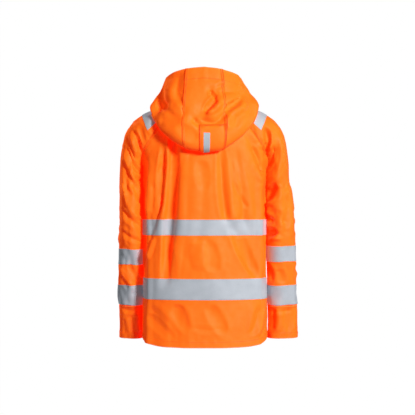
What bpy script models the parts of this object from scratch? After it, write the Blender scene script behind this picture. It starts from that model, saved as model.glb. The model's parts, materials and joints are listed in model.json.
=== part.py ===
"""Hi-vis work jacket, hollow and standing in its worn shape with nobody in it.

Metres, +Z up. The wearer faces -Y and the wearer's left is +X. The origin lies midway between the
shoulders, at the height where the neck meets them, so the shoulders hold the jacket up there.

The jacket is a raglan: the sleeves run up over the shoulders to the neckline. Every cloth piece is
one sheet of points (rows by columns) given a wall thickness, and neighbours share their seam points.
"""

import math

import bpy
import numpy as np
from mathutils.bvhtree import BVHTree

# ---- Driving dimensions ---------------------------------------------------------------------
CLOTH = 0.0015  # coated rain cloth
COLLAR_CLOTH = 0.0022  # two layers of it
TAPE = 0.0010  # reflective tape
LAYER_GAP = 0.0004  # between a panel and what is sewn on it
SEAM_GAP = 0.0004  # between the edges of two panels along a seam

UNDERARM = -0.235  # height of the underarm point
HEM_FRONT = -0.742
NARROW_TAPE = 0.050
WIDE_TAPE = 0.066
UPPER_BAND_TOP = -0.3745
LOWER_BAND_TOP = -0.562

FLAP_HALF = 0.034  # storm flap, half its width
STUD_RADIUS = 0.0072
STUD_HEIGHT = 0.0022
STUD_LIFT = 0.0005

SHARE_POWER = 2.6  # squareness of the body's cross-section; 2 is an ellipse
SLEEVE_POWER = 2.35

# The body's cross-sections: height, half width, reach to the back and to the front.
BODY = (
    # height, half,   back,  front
    (0.030, 0.196, 0.054, 0.056),
    (0.000, 0.202, 0.070, 0.072),
    (-0.050, 0.206, 0.096, 0.100),
    (-0.100, 0.207, 0.113, 0.120),
    (-0.160, 0.206, 0.122, 0.135),
    (-0.235, 0.202, 0.125, 0.142),
    (-0.376, 0.199, 0.122, 0.139),
    (-0.568, 0.198, 0.122, 0.139),
    (-0.700, 0.200, 0.127, 0.142),
    (-0.800, 0.203, 0.131, 0.145),
)

# The raglan seams, from the underarm (climb 0) to the neckline (climb 1). The share is how far
# round the quarter girth the seam lies, 0 at the side and 1 at the middle of the back or front.
RAGLAN_BACK = (
    # climb, height, share
    (0.00, -0.235, 0.000),
    (0.12, -0.203, 0.105),
    (0.25, -0.168, 0.215),
    (0.40, -0.132, 0.335),
    (0.60, -0.083, 0.480),
    (0.80, -0.032, 0.612),
    (1.00, 0.014, 0.735),
)
RAGLAN_FRONT = (
    (0.00, -0.235, 0.000),
    (0.12, -0.207, 0.100),
    (0.25, -0.177, 0.205),
    (0.40, -0.143, 0.325),
    (0.60, -0.098, 0.475),
    (0.80, -0.054, 0.625),
    (1.00, -0.014, 0.765),
)

# The back's hem: a longer tail with rounded corners.
TAIL = (
    # share, height
    (0.00, -0.742),
    (0.12, -0.754),
    (0.25, -0.765),
    (0.41, -0.774),
    (0.70, -0.778),
    (1.00, -0.7785),
)

# The neckline: an oval round the neck, lower in front.
NECK_HALF = 0.076
NECK_BACK = 0.060
NECK_FRONT = 0.078
NECK_SIDE_HEIGHT = 0.016
NECK_BACK_DROP = 0.004
NECK_FRONT_DROP = 0.064
NECK_RAGLAN_BACK = 0.36  # quarter turns from the side to where the back raglan seam meets it
NECK_RAGLAN_FRONT = -0.42
COLLAR_RISE = 0.068
COLLAR_LEAN = 0.004

# The left sleeve over the shoulder: a row for each climb, with the outermost point of the section
# as (x, z) and how far the section reaches behind and in front of the raglan seams.
SHOULDER = (
    # climb, out x, out z, spare behind, spare in front
    (0.00, 0.2760, -0.247, 0.062, 0.116),
    (0.09, 0.2740, -0.196, 0.044, 0.092),
    (0.18, 0.2680, -0.147, 0.028, 0.068),
    (0.27, 0.2570, -0.098, 0.016, 0.048),
    (0.36, 0.2350, -0.064, 0.009, 0.030),
    (0.45, 0.2020, -0.038, 0.005, 0.018),
    (0.57, 0.1760, -0.025, 0.003, 0.010),
    (0.69, 0.1500, -0.014, 0.002, 0.006),
    (0.80, 0.1240, -0.004, 0.002, 0.004),
    (0.90, 0.1000, 0.006, 0.001, 0.002),
    (1.00, 0.0760, 0.016, 0.001, 0.001),
)
# The hanging arm: height, inner and outer x, reach to back and front.
ARM = (
    # height, in x,  out x,  back,  front
    (-0.241, 0.203, 0.276, 0.062, -0.116),
    (-0.300, 0.2035, 0.277, 0.058, -0.122),
    (-0.370, 0.2035, 0.278, 0.053, -0.126),
    (-0.450, 0.2030, 0.280, 0.042, -0.128),
    (-0.530, 0.2030, 0.282, 0.026, -0.128),
    (-0.610, 0.2040, 0.282, 0.010, -0.128),
    (-0.680, 0.2055, 0.281, -0.002, -0.124),
    (-0.765, 0.2060, 0.280, -0.006, -0.118),
)
# The right arm hangs further out and so is rounder than the left one.
SWING = (
    # height, inner side, outer side
    (-0.241, 0.000, 0.000),
    (-0.270, 0.000, 0.007),
    (-0.310, 0.000, 0.013),
    (-0.380, 0.001, 0.017),
    (-0.450, 0.002, 0.018),
    (-0.530, 0.005, 0.018),
    (-0.610, 0.008, 0.020),
    (-0.680, 0.008, 0.025),
    (-0.765, 0.007, 0.026),
)
SLEEVE_UPPER_BAND = {"left": -0.470, "right": -0.460}
SLEEVE_LOWER_BAND = {"left": -0.588, "right": -0.588}
SLEEVE_TAPE = 0.064
CUFF_SEAM = -0.656
CUFF_END = -0.762

# Short reflective strips across the shoulders, from one climb to another.
STRIP_FROM = 0.45
STRIP_TO = 0.69
STRIP_BEHIND = 2  # the sleeve columns where they end
STRIP_AHEAD = 17

# The hood lies folded back: it runs from the neck seam down to a fold and up to its rim. Each curve
# goes from the middle of the back (0) round the left shoulder to the front of the neck (1).
HOOD_FOLD = (
    # around, x, y, z
    (0.00, 0.000, 0.146, -0.161),
    (0.18, 0.059, 0.142, -0.151),
    (0.32, 0.108, 0.125, -0.120),
    (0.46, 0.147, 0.093, -0.079),
    (0.60, 0.170, 0.036, -0.032),
    (0.72, 0.162, -0.022, -0.027),
    (0.86, 0.122, -0.080, -0.040),
    (1.00, 0.066, -0.106, -0.052),
)
HOOD_RIM = (
    (0.00, 0.000, 0.128, 0.1070),
    (0.18, 0.059, 0.122, 0.1015),
    (0.32, 0.099, 0.103, 0.0930),
    (0.46, 0.121, 0.068, 0.0820),
    (0.60, 0.127, 0.022, 0.0670),
    (0.72, 0.116, -0.018, 0.0460),
    (0.86, 0.090, -0.055, 0.0160),
    (1.00, 0.056, -0.092, -0.0240),
)
# How strongly the fold is rounded, how the outer wall bulges above it, rises to the rim and stands
# out below it, how far the inner wall arches, and the way that leads off the jacket there.
HOOD_SHAPE = (
    # around, under, bulge, rise, top, off, away x, away y, away z
    (0.00, 0.030, 0.052, 0.100, 0.026, 0.010, 0.00, 1.00, 0.00),
    (0.18, 0.030, 0.050, 0.100, 0.025, 0.010, 0.08, 0.99, 0.10),
    (0.32, 0.028, 0.042, 0.080, 0.016, 0.011, 0.18, 0.88, 0.35),
    (0.46, 0.024, 0.028, 0.070, 0.000, 0.012, 0.26, 0.62, 0.70),
    (0.60, 0.020, 0.012, 0.050, -0.006, 0.012, 0.20, 0.22, 0.95),
    (0.72, 0.018, 0.012, 0.040, -0.004, 0.012, 0.16, -0.12, 0.97),
    (0.86, 0.014, 0.012, 0.020, 0.002, 0.010, 0.12, -0.42, 0.90),
    (1.00, 0.008, 0.010, 0.012, 0.004, 0.006, 0.05, -0.70, 0.71),
)
HOOD_PANEL_SEAM = 0.18  # where the middle panel meets the side panels
HOOD_FRONT_TURN = -0.62  # where the hood's edge ends on the neckline, in quarter turns
TAB_SIDE = 0.038  # the tab runs from the right panel seam to here
TAB_ROWS = 5  # up the outer wall from the fold, and one row under it

# Folds of the cloth as seen from behind or from the front: each runs from (x1, z1) to (x2, z2),
# bends sideways by `bow`, and is `half` wide to each side. A trough has a negative depth.
FOLDS = (
    # side,   x1,     z1,     x2,     z2,    bow,   half,   depth
    # the back
    ("back", 0.129, -0.168, 0.187, -0.490, -0.008, 0.014, -0.008),
    ("back", 0.073, -0.130, 0.118, -0.600, -0.004, 0.022, -0.014),
    ("back", -0.072, -0.130, -0.156, -0.560, 0.010, 0.024, -0.013),
    ("back", -0.138, -0.110, -0.184, -0.240, 0.006, 0.013, -0.008),
    ("back", 0.000, -0.200, -0.020, -0.660, 0.000, 0.045, 0.005),
    ("back", 0.150, -0.640, 0.142, -0.790, 0.000, 0.026, -0.005),
    ("back", 0.093, -0.640, 0.096, -0.790, 0.000, 0.018, -0.005),
    ("back", -0.152, -0.650, -0.166, -0.790, 0.000, 0.018, 0.005),
    # the armpits and the sleeves behind
    ("back", 0.207, -0.065, 0.205, -0.260, 0.000, 0.013, -0.012),
    ("back", -0.205, -0.065, -0.205, -0.240, 0.000, 0.013, -0.011),
    ("back", 0.262, -0.090, 0.215, -0.225, 0.000, 0.013, -0.006),
    ("back", 0.268, -0.150, 0.212, -0.290, 0.000, 0.014, -0.006),
    ("back", 0.272, -0.260, 0.240, -0.370, 0.000, 0.014, 0.005),
    ("back", 0.254, -0.470, 0.207, -0.610, 0.000, 0.015, -0.007),
    ("back", -0.240, -0.120, -0.215, -0.250, 0.000, 0.013, -0.007),
    ("back", -0.190, -0.270, -0.245, -0.305, 0.000, 0.011, -0.008),
    ("back", -0.190, -0.362, -0.235, -0.376, 0.000, 0.011, -0.008),
    ("back", -0.190, -0.415, -0.245, -0.438, 0.000, 0.012, -0.008),
    # the front
    ("front", 0.120, -0.140, 0.160, -0.520, -0.010, 0.026, -0.009),
    ("front", -0.118, -0.150, -0.150, -0.560, 0.010, 0.026, -0.009),
    ("front", 0.080, -0.480, 0.070, -0.760, 0.000, 0.026, -0.006),
    ("front", -0.085, -0.420, -0.095, -0.760, 0.000, 0.026, -0.006),
    ("front", 0.262, -0.320, 0.215, -0.390, 0.000, 0.024, -0.006),
    ("front", -0.270, -0.330, -0.218, -0.390, 0.000, 0.024, -0.006),
)
# The same for the outer wall of the hood.
HOOD_FOLDS = (
    ("back", -0.016, 0.046, -0.044, 0.010, 0.000, 0.009, -0.009),
    ("back", -0.044, 0.035, -0.135, 0.026, 0.000, 0.013, -0.010),
    ("back", -0.060, -0.042, -0.130, 0.012, 0.000, 0.012, -0.010),
    ("back", -0.002, -0.058, -0.064, 0.004, 0.000, 0.013, 0.008),
    ("back", 0.003, -0.004, 0.006, -0.060, 0.000, 0.011, -0.006),
    ("back", 0.036, -0.054, 0.006, -0.084, 0.000, 0.011, -0.006),
    ("back", 0.165, -0.020, 0.108, 0.004, 0.000, 0.010, -0.008),
    ("back", 0.094, 0.060, 0.100, -0.004, 0.000, 0.012, -0.009),
    ("back", 0.102, 0.004, 0.060, -0.055, 0.000, 0.012, -0.007),
    ("back", 0.126, 0.078, 0.072, 0.078, 0.000, 0.014, -0.009),
)

COLOURS = {
    "orange": ((1.0, 0.22, 0.02), 0.55),
    "tape": ((0.62, 0.65, 0.68), 0.35),
    "stud": ((0.9, 0.2, 0.02), 0.4),
}


# ---- Small mathematics ----------------------------------------------------------------------
def along(table, at, column):
    """A smooth curve through one column of a table whose first column is where each row lies."""
    rows = np.array([[row[0], row[column]] for row in sorted(table)])
    place, value = rows[:, 0], rows[:, 1]
    slope = np.gradient(value, place)
    at = np.clip(at, place[0], place[-1])
    k = np.clip(np.searchsorted(place, at) - 1, 0, len(place) - 2)
    width = place[k + 1] - place[k]
    t = (at - place[k]) / width
    return (
        value[k] * (1 + 2 * t) * (1 - t) ** 2
        + value[k + 1] * t * t * (3 - 2 * t)
        + width * (slope[k] * t * (1 - t) ** 2 - slope[k + 1] * t * t * (1 - t))
    )


def power(value, exponent):
    return np.sign(value) * np.abs(value) ** exponent


def unit(vectors):
    return vectors / np.maximum(np.linalg.norm(vectors, axis=-1, keepdims=True), 1e-12)


def evenly(points, count):
    """count points evenly spaced along a line of many points."""
    steps = np.linalg.norm(np.diff(points, axis=0), axis=1)
    place = np.concatenate([[0], np.cumsum(steps)])
    wanted = np.linspace(0, place[-1], count)
    return np.stack([np.interp(wanted, place, points[:, i]) for i in range(3)], axis=1)


def stops(places, step):
    """Places from the first to the last, each interval cut into equal steps no longer than step."""
    found = [places[0]]
    for start, end in zip(places, places[1:]):
        count = max(1, round(abs(end - start) / step))
        found += [start + (end - start) * (i + 1) / count for i in range(count)]
    return np.array(found)


def quarter_angles():
    """The superellipse angle at each share of the quarter girth, 0 at the side, 1 at the middle."""
    half, reach = 0.202, 0.128
    angle = np.linspace(0, math.pi / 2, 721)
    x = half * np.cos(angle) ** (2 / SHARE_POWER)
    y = reach * np.sin(angle) ** (2 / SHARE_POWER)
    length = np.concatenate([[0], np.cumsum(np.hypot(np.diff(x), np.diff(y)))])
    return length / length[-1], angle, length[-1]


QUARTER_SHARE, QUARTER_ANGLE, QUARTER_GIRTH = quarter_angles()


# ---- The body -------------------------------------------------------------------------------
def body_point(turn, height):
    """A point of the body. Turn counts quarter girths: 0 left side, 1 back, 2 right side, 3 front."""
    turn, height = np.broadcast_arrays(np.asarray(turn, float), np.asarray(height, float))
    turn = turn % 4
    share = 1 - np.abs(turn % 2 - 1)
    angle = np.interp(share, QUARTER_SHARE, QUARTER_ANGLE)
    to_left = np.where((turn < 1) | (turn > 3), 1, -1)
    behind = turn < 2
    reach = np.where(behind, along(BODY, height, 2), -along(BODY, height, 3))
    x = to_left * along(BODY, height, 1) * np.abs(np.cos(angle)) ** (2 / SHARE_POWER)
    y = reach * np.sin(angle) ** (2 / SHARE_POWER)
    return np.stack([x, y, height], axis=-1)


def neck_point(turn):
    """A point of the neckline. Turn counts quarter turns: 0 left side, 1 back, -1 front."""
    angle = np.asarray(turn, float) * math.pi / 2
    s = np.sin(angle)
    back = np.clip(s, 0, 1)
    front = np.clip(-s, 0, 1)
    x = NECK_HALF * np.cos(angle)
    y = NECK_BACK * back - NECK_FRONT * front
    z = NECK_SIDE_HEIGHT - NECK_BACK_DROP * back - NECK_FRONT_DROP * front**1.6
    return np.stack([x, y, z], axis=-1)


def hem_height(turn):
    """The hem: a rounded tail behind, level in front."""
    turn = np.asarray(turn, float)
    share = 1 - np.abs(turn % 2 - 1)
    return np.where(turn % 4 <= 2, along(TAIL, share, 1), HEM_FRONT)


# Rows between the underarm (0) and the neckline (1), shared by the body and the sleeves.
CLIMBS = stops((0, STRIP_FROM, STRIP_TO, 1), 0.09)
RISING = len(CLIMBS) - 1
LOW_LEVELS = stops(
    (
        TAIL[-1][1],
        LOWER_BAND_TOP - WIDE_TAPE,
        LOWER_BAND_TOP,
        UPPER_BAND_TOP - NARROW_TAPE,
        UPPER_BAND_TOP,
        UNDERARM,
    ),
    0.042,
)
BLEND_FROM = LOWER_BAND_TOP - WIDE_TAPE  # rows are level above this height
LOW_ROWS = len(LOW_LEVELS)


def row_of(height):
    return int(np.argmin(np.abs(LOW_LEVELS - height)))


def panel_rows(shares, seam_table, middle_turn, side_turn, neck_middle, neck_end):
    """A body panel's points from the middle (column 0) to its side (last column), hem to neckline.

    shares(edge) gives each column's place between the middle and an edge that is `edge` of a
    quarter girth away, so that a column keeps its distance from the middle."""
    rows = []
    away = side_turn - middle_turn
    for level in LOW_LEVELS:
        turn = middle_turn + away * shares(1.0)
        bottom = hem_height(turn)
        drop = np.clip((BLEND_FROM - level) / (BLEND_FROM - LOW_LEVELS[0]), 0, 1)
        height = np.where(level < BLEND_FROM, BLEND_FROM + (bottom - BLEND_FROM) * drop, level)
        rows.append(body_point(turn, height))
    edge_neck = neck_point(neck_end)
    for climb in CLIMBS[1:]:
        edge = 1 - along(seam_table, climb, 2)
        edge_height = along(seam_table, climb, 1)
        middle_height = UNDERARM + (neck_point(neck_middle)[2] - UNDERARM) * climb
        place = shares(edge)
        height = middle_height + (edge_height - middle_height) * (place / edge) ** 2
        rows.append(body_point(middle_turn + away * place, height))
    top = rows[-1]
    around = neck_middle + (neck_end - neck_middle) * place / edge
    miss = neck_point(around) - top
    miss[-1] = edge_neck - top[-1]
    for i, climb in enumerate(CLIMBS[1:]):
        rows[LOW_ROWS + i] = rows[LOW_ROWS + i] + miss * climb**4
    return np.array(rows)


BACK_HALF_COLUMNS = 16
FRONT_COLUMNS = 11
FLAP_COLUMNS = 2


def back_shares(edge):
    return np.linspace(0, edge, BACK_HALF_COLUMNS + 1)


def front_shares(edge):
    flap = FLAP_HALF / QUARTER_GIRTH
    inner = np.linspace(0, flap, FLAP_COLUMNS + 1)
    outer = np.linspace(flap, edge, FRONT_COLUMNS - FLAP_COLUMNS + 1)
    return np.concatenate([inner, outer[1:]])


def back_grid():
    """The back panel, from the right side seam (column 0) to the left one."""
    left = panel_rows(back_shares, RAGLAN_BACK, 1.0, 0.0, 1.0, NECK_RAGLAN_BACK)
    right = left * (-1, 1, 1)
    return np.concatenate([right[:, :0:-1], left], axis=1)


def front_grid():
    """The left front, from the middle (column 0) to the side seam."""
    return panel_rows(front_shares, RAGLAN_FRONT, 3.0, 4.0, -1.0, NECK_RAGLAN_FRONT)


# ---- The sleeves ----------------------------------------------------------------------------
SLEEVE_COLUMNS = 20


def section(out, back, front, back_end, front_end):
    """One sleeve section from the back seam over the outside to the front seam.

    out is its outermost (x, z). The section is an oval that the two seam points lie on."""
    middle = (back + front) / 2
    reach = (back - front) / 2
    wide = [np.clip((end[1] - middle) / reach, -1, 1) for end in (back_end, front_end)]
    deep = [-((1 - abs(w) ** SLEEVE_POWER) ** (1 / SLEEVE_POWER)) for w in wide]
    inward = sum(deep) / 2
    seams = (back_end + front_end) / 2
    mid_x = (seams[0] - inward * out[0]) / (1 - inward)
    mid_z = (seams[2] - inward * out[1]) / (1 - inward)
    axis = np.array([out[0] - mid_x, 0, out[1] - mid_z])
    centre = np.array([mid_x, middle, mid_z])
    start, end = (
        math.atan2(power(w, SLEEVE_POWER / 2), power(d, SLEEVE_POWER / 2)) for w, d in zip(wide, deep)
    )
    if back_end[1] - middle < 1e-9:
        start = math.pi
    end = -abs(end) if front_end[1] - middle < -1e-9 else -math.pi
    angles = np.linspace(start, end, 361)
    radial = power(np.cos(angles), 2 / SLEEVE_POWER)
    sideways = power(np.sin(angles), 2 / SLEEVE_POWER)
    line = centre + radial[:, None] * axis + reach * sideways[:, None] * np.array([0, 1, 0])
    share = np.linspace(1, -1, len(angles))[:, None]
    toward_back = np.clip(share, 0, 1) ** 2
    toward_front = np.clip(-share, 0, 1) ** 2
    line = line + toward_back * (back_end - line[0]) + toward_front * (front_end - line[-1])
    return evenly(line, SLEEVE_COLUMNS + 1)


def arm_levels(side):
    upper, lower = SLEEVE_UPPER_BAND[side], SLEEVE_LOWER_BAND[side]
    return stops(
        (
            ARM[0][0],
            upper,
            upper - NARROW_TAPE,
            lower,
            lower - SLEEVE_TAPE,
            CUFF_SEAM,
            CUFF_END,
        ),
        0.047,
    )


def arm_row(side, height):
    return RISING + int(np.argmin(np.abs(arm_levels(side) - height)))


def sleeve_grid(side, seam_back, seam_front):
    """A sleeve as if it were the left one, from the neckline (row 0) down to the cuff's end.

    seam_back and seam_front are the body's own points along the raglan seams, neckline first."""
    rows = []
    for i, climb in enumerate(CLIMBS[::-1]):
        out = (along(SHOULDER, climb, 1), along(SHOULDER, climb, 2))
        back = seam_back[i][1] + along(SHOULDER, climb, 3)
        front = seam_front[i][1] - along(SHOULDER, climb, 4)
        rows.append(section(out, back, front, seam_back[i], seam_front[i]))
    neck_turns = np.linspace(NECK_RAGLAN_BACK, NECK_RAGLAN_FRONT, SLEEVE_COLUMNS + 1)
    miss = neck_point(neck_turns) - rows[0]
    for i, climb in enumerate(CLIMBS[::-1]):
        rows[i] = rows[i] + miss * climb**4
    levels = arm_levels(side)
    for level in levels[1:]:
        inner, outer = along(ARM, level, 1), along(ARM, level, 2)
        if side == "right":
            inner, outer = inner + along(SWING, level, 1), outer + along(SWING, level, 2)
        back, front = along(ARM, level, 3), along(ARM, level, 4)
        seam = np.array([inner, (back + front) / 2, level])
        rows.append(section((outer, level), back, front, seam, seam))
    return np.array(rows)


# ---- Folds ----------------------------------------------------------------------------------
def fold_depth(folds, side, points):
    """How far the folds of one side push each point out along its normal."""
    total = np.zeros(points.shape[:-1])
    for where, x1, z1, x2, z2, bow, half, depth in folds:
        if where != side:
            continue
        run = np.array([x2 - x1, z2 - z1])
        length = np.hypot(*run)
        run = run / length
        dx, dz = points[..., 0] - x1, points[..., 2] - z1
        down = (dx * run[0] + dz * run[1]) / length
        across = dx * run[1] - dz * run[0]
        across = across - bow * np.sin(np.pi * np.clip(down, 0, 1))
        ends = np.clip(down / 0.15, 0, 1) * np.clip((1 - down) / 0.15, 0, 1)
        ends = ends * ends * (3 - 2 * ends)
        total += depth * ends * np.exp(-((across / half) ** 2))
    return total


def crumple(points, normals, folds=FOLDS):
    facing = normals[..., 1]
    push = fold_depth(folds, "back", points) * np.clip(facing * 1.6, 0, 1)
    push += fold_depth(folds, "front", points) * np.clip(-facing * 1.6, 0, 1)
    return points + normals * push[..., None]


# ---- Sheets of points -----------------------------------------------------------------------
ALL = slice(None)


class Sheet:
    """A piece of cloth: points in rows and columns, and the outward normal at each.

    The normal is across the columns times up the rows, or the other way round when flipped."""

    def __init__(self, points, flip=False):
        self.points = np.array(points)
        self.flip = flip
        self.find_normals()
        self.find_diagonals()

    def find_diagonals(self):
        """Which diagonal cuts each quad: what is sewn on a panel has to be cut the same way."""
        p = self.points
        plain = np.linalg.norm(p[:-1, :-1] - p[1:, 1:], axis=-1)
        other = np.linalg.norm(p[:-1, 1:] - p[1:, :-1], axis=-1)
        self.crossed = other < 0.97 * plain

    def find_normals(self):
        across, up = np.gradient(self.points, axis=1), np.gradient(self.points, axis=0)
        self.normals = unit(np.cross(across, up)) * (-1 if self.flip else 1)

    def part(self, rows=slice(None), columns=slice(None)):
        piece = Sheet.__new__(Sheet)
        piece.points = self.points[rows, columns].copy()
        piece.normals = self.normals[rows, columns].copy()
        piece.flip = self.flip
        quads = []
        for cut, count in zip((rows, columns), self.crossed.shape):
            start, stop, _ = cut.indices(count + 1)
            quads.append(slice(start, stop - 1))
        piece.crossed = self.crossed[tuple(quads)].copy()
        return piece

    def lifted(self, height):
        piece = self.part()
        piece.points = piece.points + piece.normals * height
        return piece

    def mirrored(self):
        piece = self.part()
        piece.points = piece.points * (-1, 1, 1)
        piece.normals = piece.normals * (-1, 1, 1)
        piece.flip = not self.flip
        return piece


def share_normals(*edges, keep_folded=True):
    """Gives the points that several sheets share one normal. Each edge is (sheet, rows, columns).

    Where two sheets fold back onto each other, as in the armpit, each may keep its own normal."""
    own = [sheet.normals[rows, columns].copy() for sheet, rows, columns in edges]
    mean = unit(sum(own))
    folded = np.clip((0.85 - np.sum(own[0] * own[-1], axis=-1)) / 0.5, 0, 1)[..., None] * keep_folded
    for (sheet, rows, columns), normal in zip(edges, own):
        sheet.normals[rows, columns] = unit(mean * (1 - folded) + normal * folded)


def trim(points, normals):
    """Pulls all four edges of a sheet in by half the gap of a seam, and sinks them as far."""
    points = points.copy()
    pull = SEAM_GAP / 2
    for edge in ((0, ALL), (-1, ALL), (slice(1, -1), 0), (slice(1, -1), -1)):
        points[edge] -= normals[edge] * pull
    points[0] += unit(points[1] - points[0]) * pull
    points[-1] += unit(points[-2] - points[-1]) * pull
    points[:, 0] += unit(points[:, 1] - points[:, 0]) * pull
    points[:, -1] += unit(points[:, -2] - points[:, -1]) * pull
    return points


# ---- Blender objects ------------------------------------------------------------------------
def material(name):
    found = bpy.data.materials.get(name)
    if found:
        return found
    colour, roughness = COLOURS[name]
    found = bpy.data.materials.new(name)
    found.use_nodes = True
    shader = found.node_tree.nodes["Principled BSDF"]
    shader.inputs["Base Color"].default_value = (*colour, 1)
    shader.inputs["Roughness"].default_value = roughness
    shader.inputs["Metallic"].default_value = 0
    return found


def add_object(name, vertices, faces, finish):
    mesh = bpy.data.meshes.new(name)
    mesh.from_pydata([tuple(v) for v in vertices], [], faces)
    mesh.materials.append(material(finish))
    mesh.update()
    mesh.shade_smooth()
    mesh.set_sharp_from_angle(angle=math.radians(50))
    obj = bpy.data.objects.new(name, mesh)
    bpy.context.scene.collection.objects.link(obj)
    return obj


def wall(name, sheet, finish="orange", thickness=CLOTH, lift=None):
    """A closed wall. Without a lift the sheet is its outer face; with one the wall lies on the sheet."""
    if lift is None:
        outer, inner = sheet.points, sheet.points - sheet.normals * thickness
    else:
        outer = sheet.points + sheet.normals * (lift + thickness)
        inner = sheet.points + sheet.normals * lift
    outer, inner = trim(outer, sheet.normals), trim(inner, sheet.normals)
    rows, columns = outer.shape[:2]
    vertices = np.concatenate([outer.reshape(-1, 3), inner.reshape(-1, 3)])
    under = rows * columns

    def at(r, c):
        return r * columns + c

    faces = []
    for r in range(rows - 1):
        for c in range(columns - 1):
            a, b, d, e = at(r, c), at(r, c + 1), at(r + 1, c + 1), at(r + 1, c)
            crossed = sheet.crossed[r, c]
            for triangle in ((a, b, e), (b, d, e)) if crossed else ((a, b, d), (a, d, e)):
                faces.append(list(triangle))
                faces.append([under + i for i in reversed(triangle)])
    edge = [at(0, c) for c in range(columns)]
    edge += [at(r, columns - 1) for r in range(1, rows)]
    edge += [at(rows - 1, c) for c in range(columns - 2, -1, -1)]
    edge += [at(r, 0) for r in range(rows - 2, 0, -1)]
    for a, b in zip(edge, edge[1:] + edge[:1]):
        faces.append([b, a, under + a, under + b])
    if sheet.flip:
        faces = [face[::-1] for face in faces]
    return add_object(name, vertices, faces, finish)


def stud(name, centre, normal):
    """A press stud's cap: a low dome lathed round the flap's normal."""
    side = unit(np.cross(normal, (0, 0, 1)))
    up = np.cross(side, normal)
    rings = ((1.0, 0.0), (1.0, 0.35), (0.82, 0.78), (0.45, 1.0))
    count = 12
    vertices = []
    for radius, height in rings:
        for i in range(count):
            angle = 2 * math.pi * i / count
            flat = side * math.cos(angle) + up * math.sin(angle)
            vertices.append(centre + flat * radius * STUD_RADIUS + normal * height * STUD_HEIGHT)
    faces = []
    for ring in range(len(rings) - 1):
        for i in range(count):
            a, b = ring * count + i, ring * count + (i + 1) % count
            faces.append([b, a, a + count, b + count])
    faces.append(list(range(count)))
    faces.append([(len(rings) - 1) * count + i for i in range(count)][::-1])
    return add_object(name, vertices, faces, "stud")


# ---- Hood, collar and flap ------------------------------------------------------------------
HOOD_CLEAR = 0.0060  # how far the inner wall stays off the shoulders and the back
FOLD_CLEAR = 0.0090
HOOD_SIDE_LIFT = 0.9  # how steeply the outer wall leaves the fold over the shoulders
HOOD_ROWS_IN = 6
HOOD_ROWS_OUT = 15
HOOD_MIDDLE_PLACES = stops((-HOOD_PANEL_SEAM, TAB_SIDE, HOOD_PANEL_SEAM), 0.045)
HOOD_SIDE_COLUMNS = 12
COLLAR_COLUMNS = 14
COLLAR_ROWS = 3


def bezier(a, b, c, d, count):
    t = np.linspace(0, 1, count)[:, None]
    return a * (1 - t) ** 3 + 3 * b * t * (1 - t) ** 2 + 3 * c * t * t * (1 - t) + d * t**3


def hood_profile(around, ground):
    """The hood's line from the neck seam down to the fold and up to the rim at one place.

    ground is what the hood lies on, as seen from the wearer's left."""
    turn = 1 + (HOOD_FRONT_TURN - 1) * around
    neck = neck_point(turn)
    neck = neck + unit(neck * (1, 1, 0)) * 0.0008 + np.array([0, 0, 0.0065])
    fold = np.array([along(HOOD_FOLD, around, i) for i in (1, 2, 3)])
    rim = np.array([along(HOOD_RIM, around, i) for i in (1, 2, 3)])
    under, bulge, rise, top, off = (along(HOOD_SHAPE, around, i) for i in range(1, 6))
    away = unit(np.array([along(HOOD_SHAPE, around, i) for i in (6, 7, 8)]))
    for _ in range(3):
        place, normal, _, _ = (np.array(found) for found in ground.find_nearest(tuple(fold)))
        fold = fold + away * max(0.0, FOLD_CLEAR - (fold - place) @ normal)
    out = unit(fold * (1, 1, 0))
    third = (fold - neck) / 3
    lift = out * off + np.array([0, 0, off])
    back_under = fold - unit(fold - neck) * under - away * under * 0.2
    inner = bezier(neck, neck + third + lift, back_under, fold, 61)
    lean = unit(rim - fold)
    outward = (out + away * HOOD_SIDE_LIFT * np.clip(around / 0.5, 0, 1)) * bulge
    outer = bezier(fold, fold + outward, rim - lean * rise + out * top, rim, 121)
    inner = evenly(inner, HOOD_ROWS_IN + 1)
    outer = evenly(outer, HOOD_ROWS_OUT + 1)
    return np.concatenate([inner, outer[1:]])


def ground_of(sheets):
    """The outer faces of several sheets, to be searched for their nearest points."""
    vertices, triangles = [], []
    for sheet in sheets:
        rows, columns = sheet.points.shape[:2]
        first = len(vertices)
        vertices += [tuple(point) for point in sheet.points.reshape(-1, 3)]
        for r in range(rows - 1):
            for c in range(columns - 1):
                a = first + r * columns + c
                pair = [(a, a + 1, a + columns + 1), (a, a + columns + 1, a + columns)]
                triangles += [t[::-1] for t in pair] if sheet.flip else pair
    return BVHTree.FromPolygons(vertices, triangles)


def hood_sheet(places, grounds):
    """Part of the hood, with a column for each place round it, right side first."""
    columns = [
        hood_profile(abs(place), grounds[int(place >= 0)]) * (1 if place >= 0 else -1, 1, 1) for place in places
    ]
    return Sheet(np.stack(columns, axis=1), flip=True)


def clear_of(ground, sheet):
    """Lifts the hood's inner wall off the body and sleeves wherever a face of it would sink in."""
    points = sheet.points[: HOOD_ROWS_IN + 2]
    rows, columns = points.shape[:2]
    for _ in range(4):
        push = np.zeros_like(points)
        for r in np.arange(0.5, rows - 1.4, 0.5):
            wanted = HOOD_CLEAR * min(1.0, 0.4 + 0.3 * r)
            for c in np.arange(0, columns - 0.9, 0.5):
                near = [
                    (i, j) for i in {math.floor(r), math.ceil(r)} for j in {math.floor(c), math.ceil(c)}
                ]
                sample = sum(points[i, j] for i, j in near) / len(near)
                place, normal, _, _ = ground.find_nearest(tuple(sample))
                height = (sample - np.array(place)) @ np.array(normal)
                for i, j in near:
                    if 0 < i < rows - 1 and height < wanted:
                        needed = np.array(normal) * (wanted - height)
                        if needed @ needed > push[i, j] @ push[i, j]:
                            push[i, j] = needed
        points += push
    sheet.find_normals()


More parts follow.
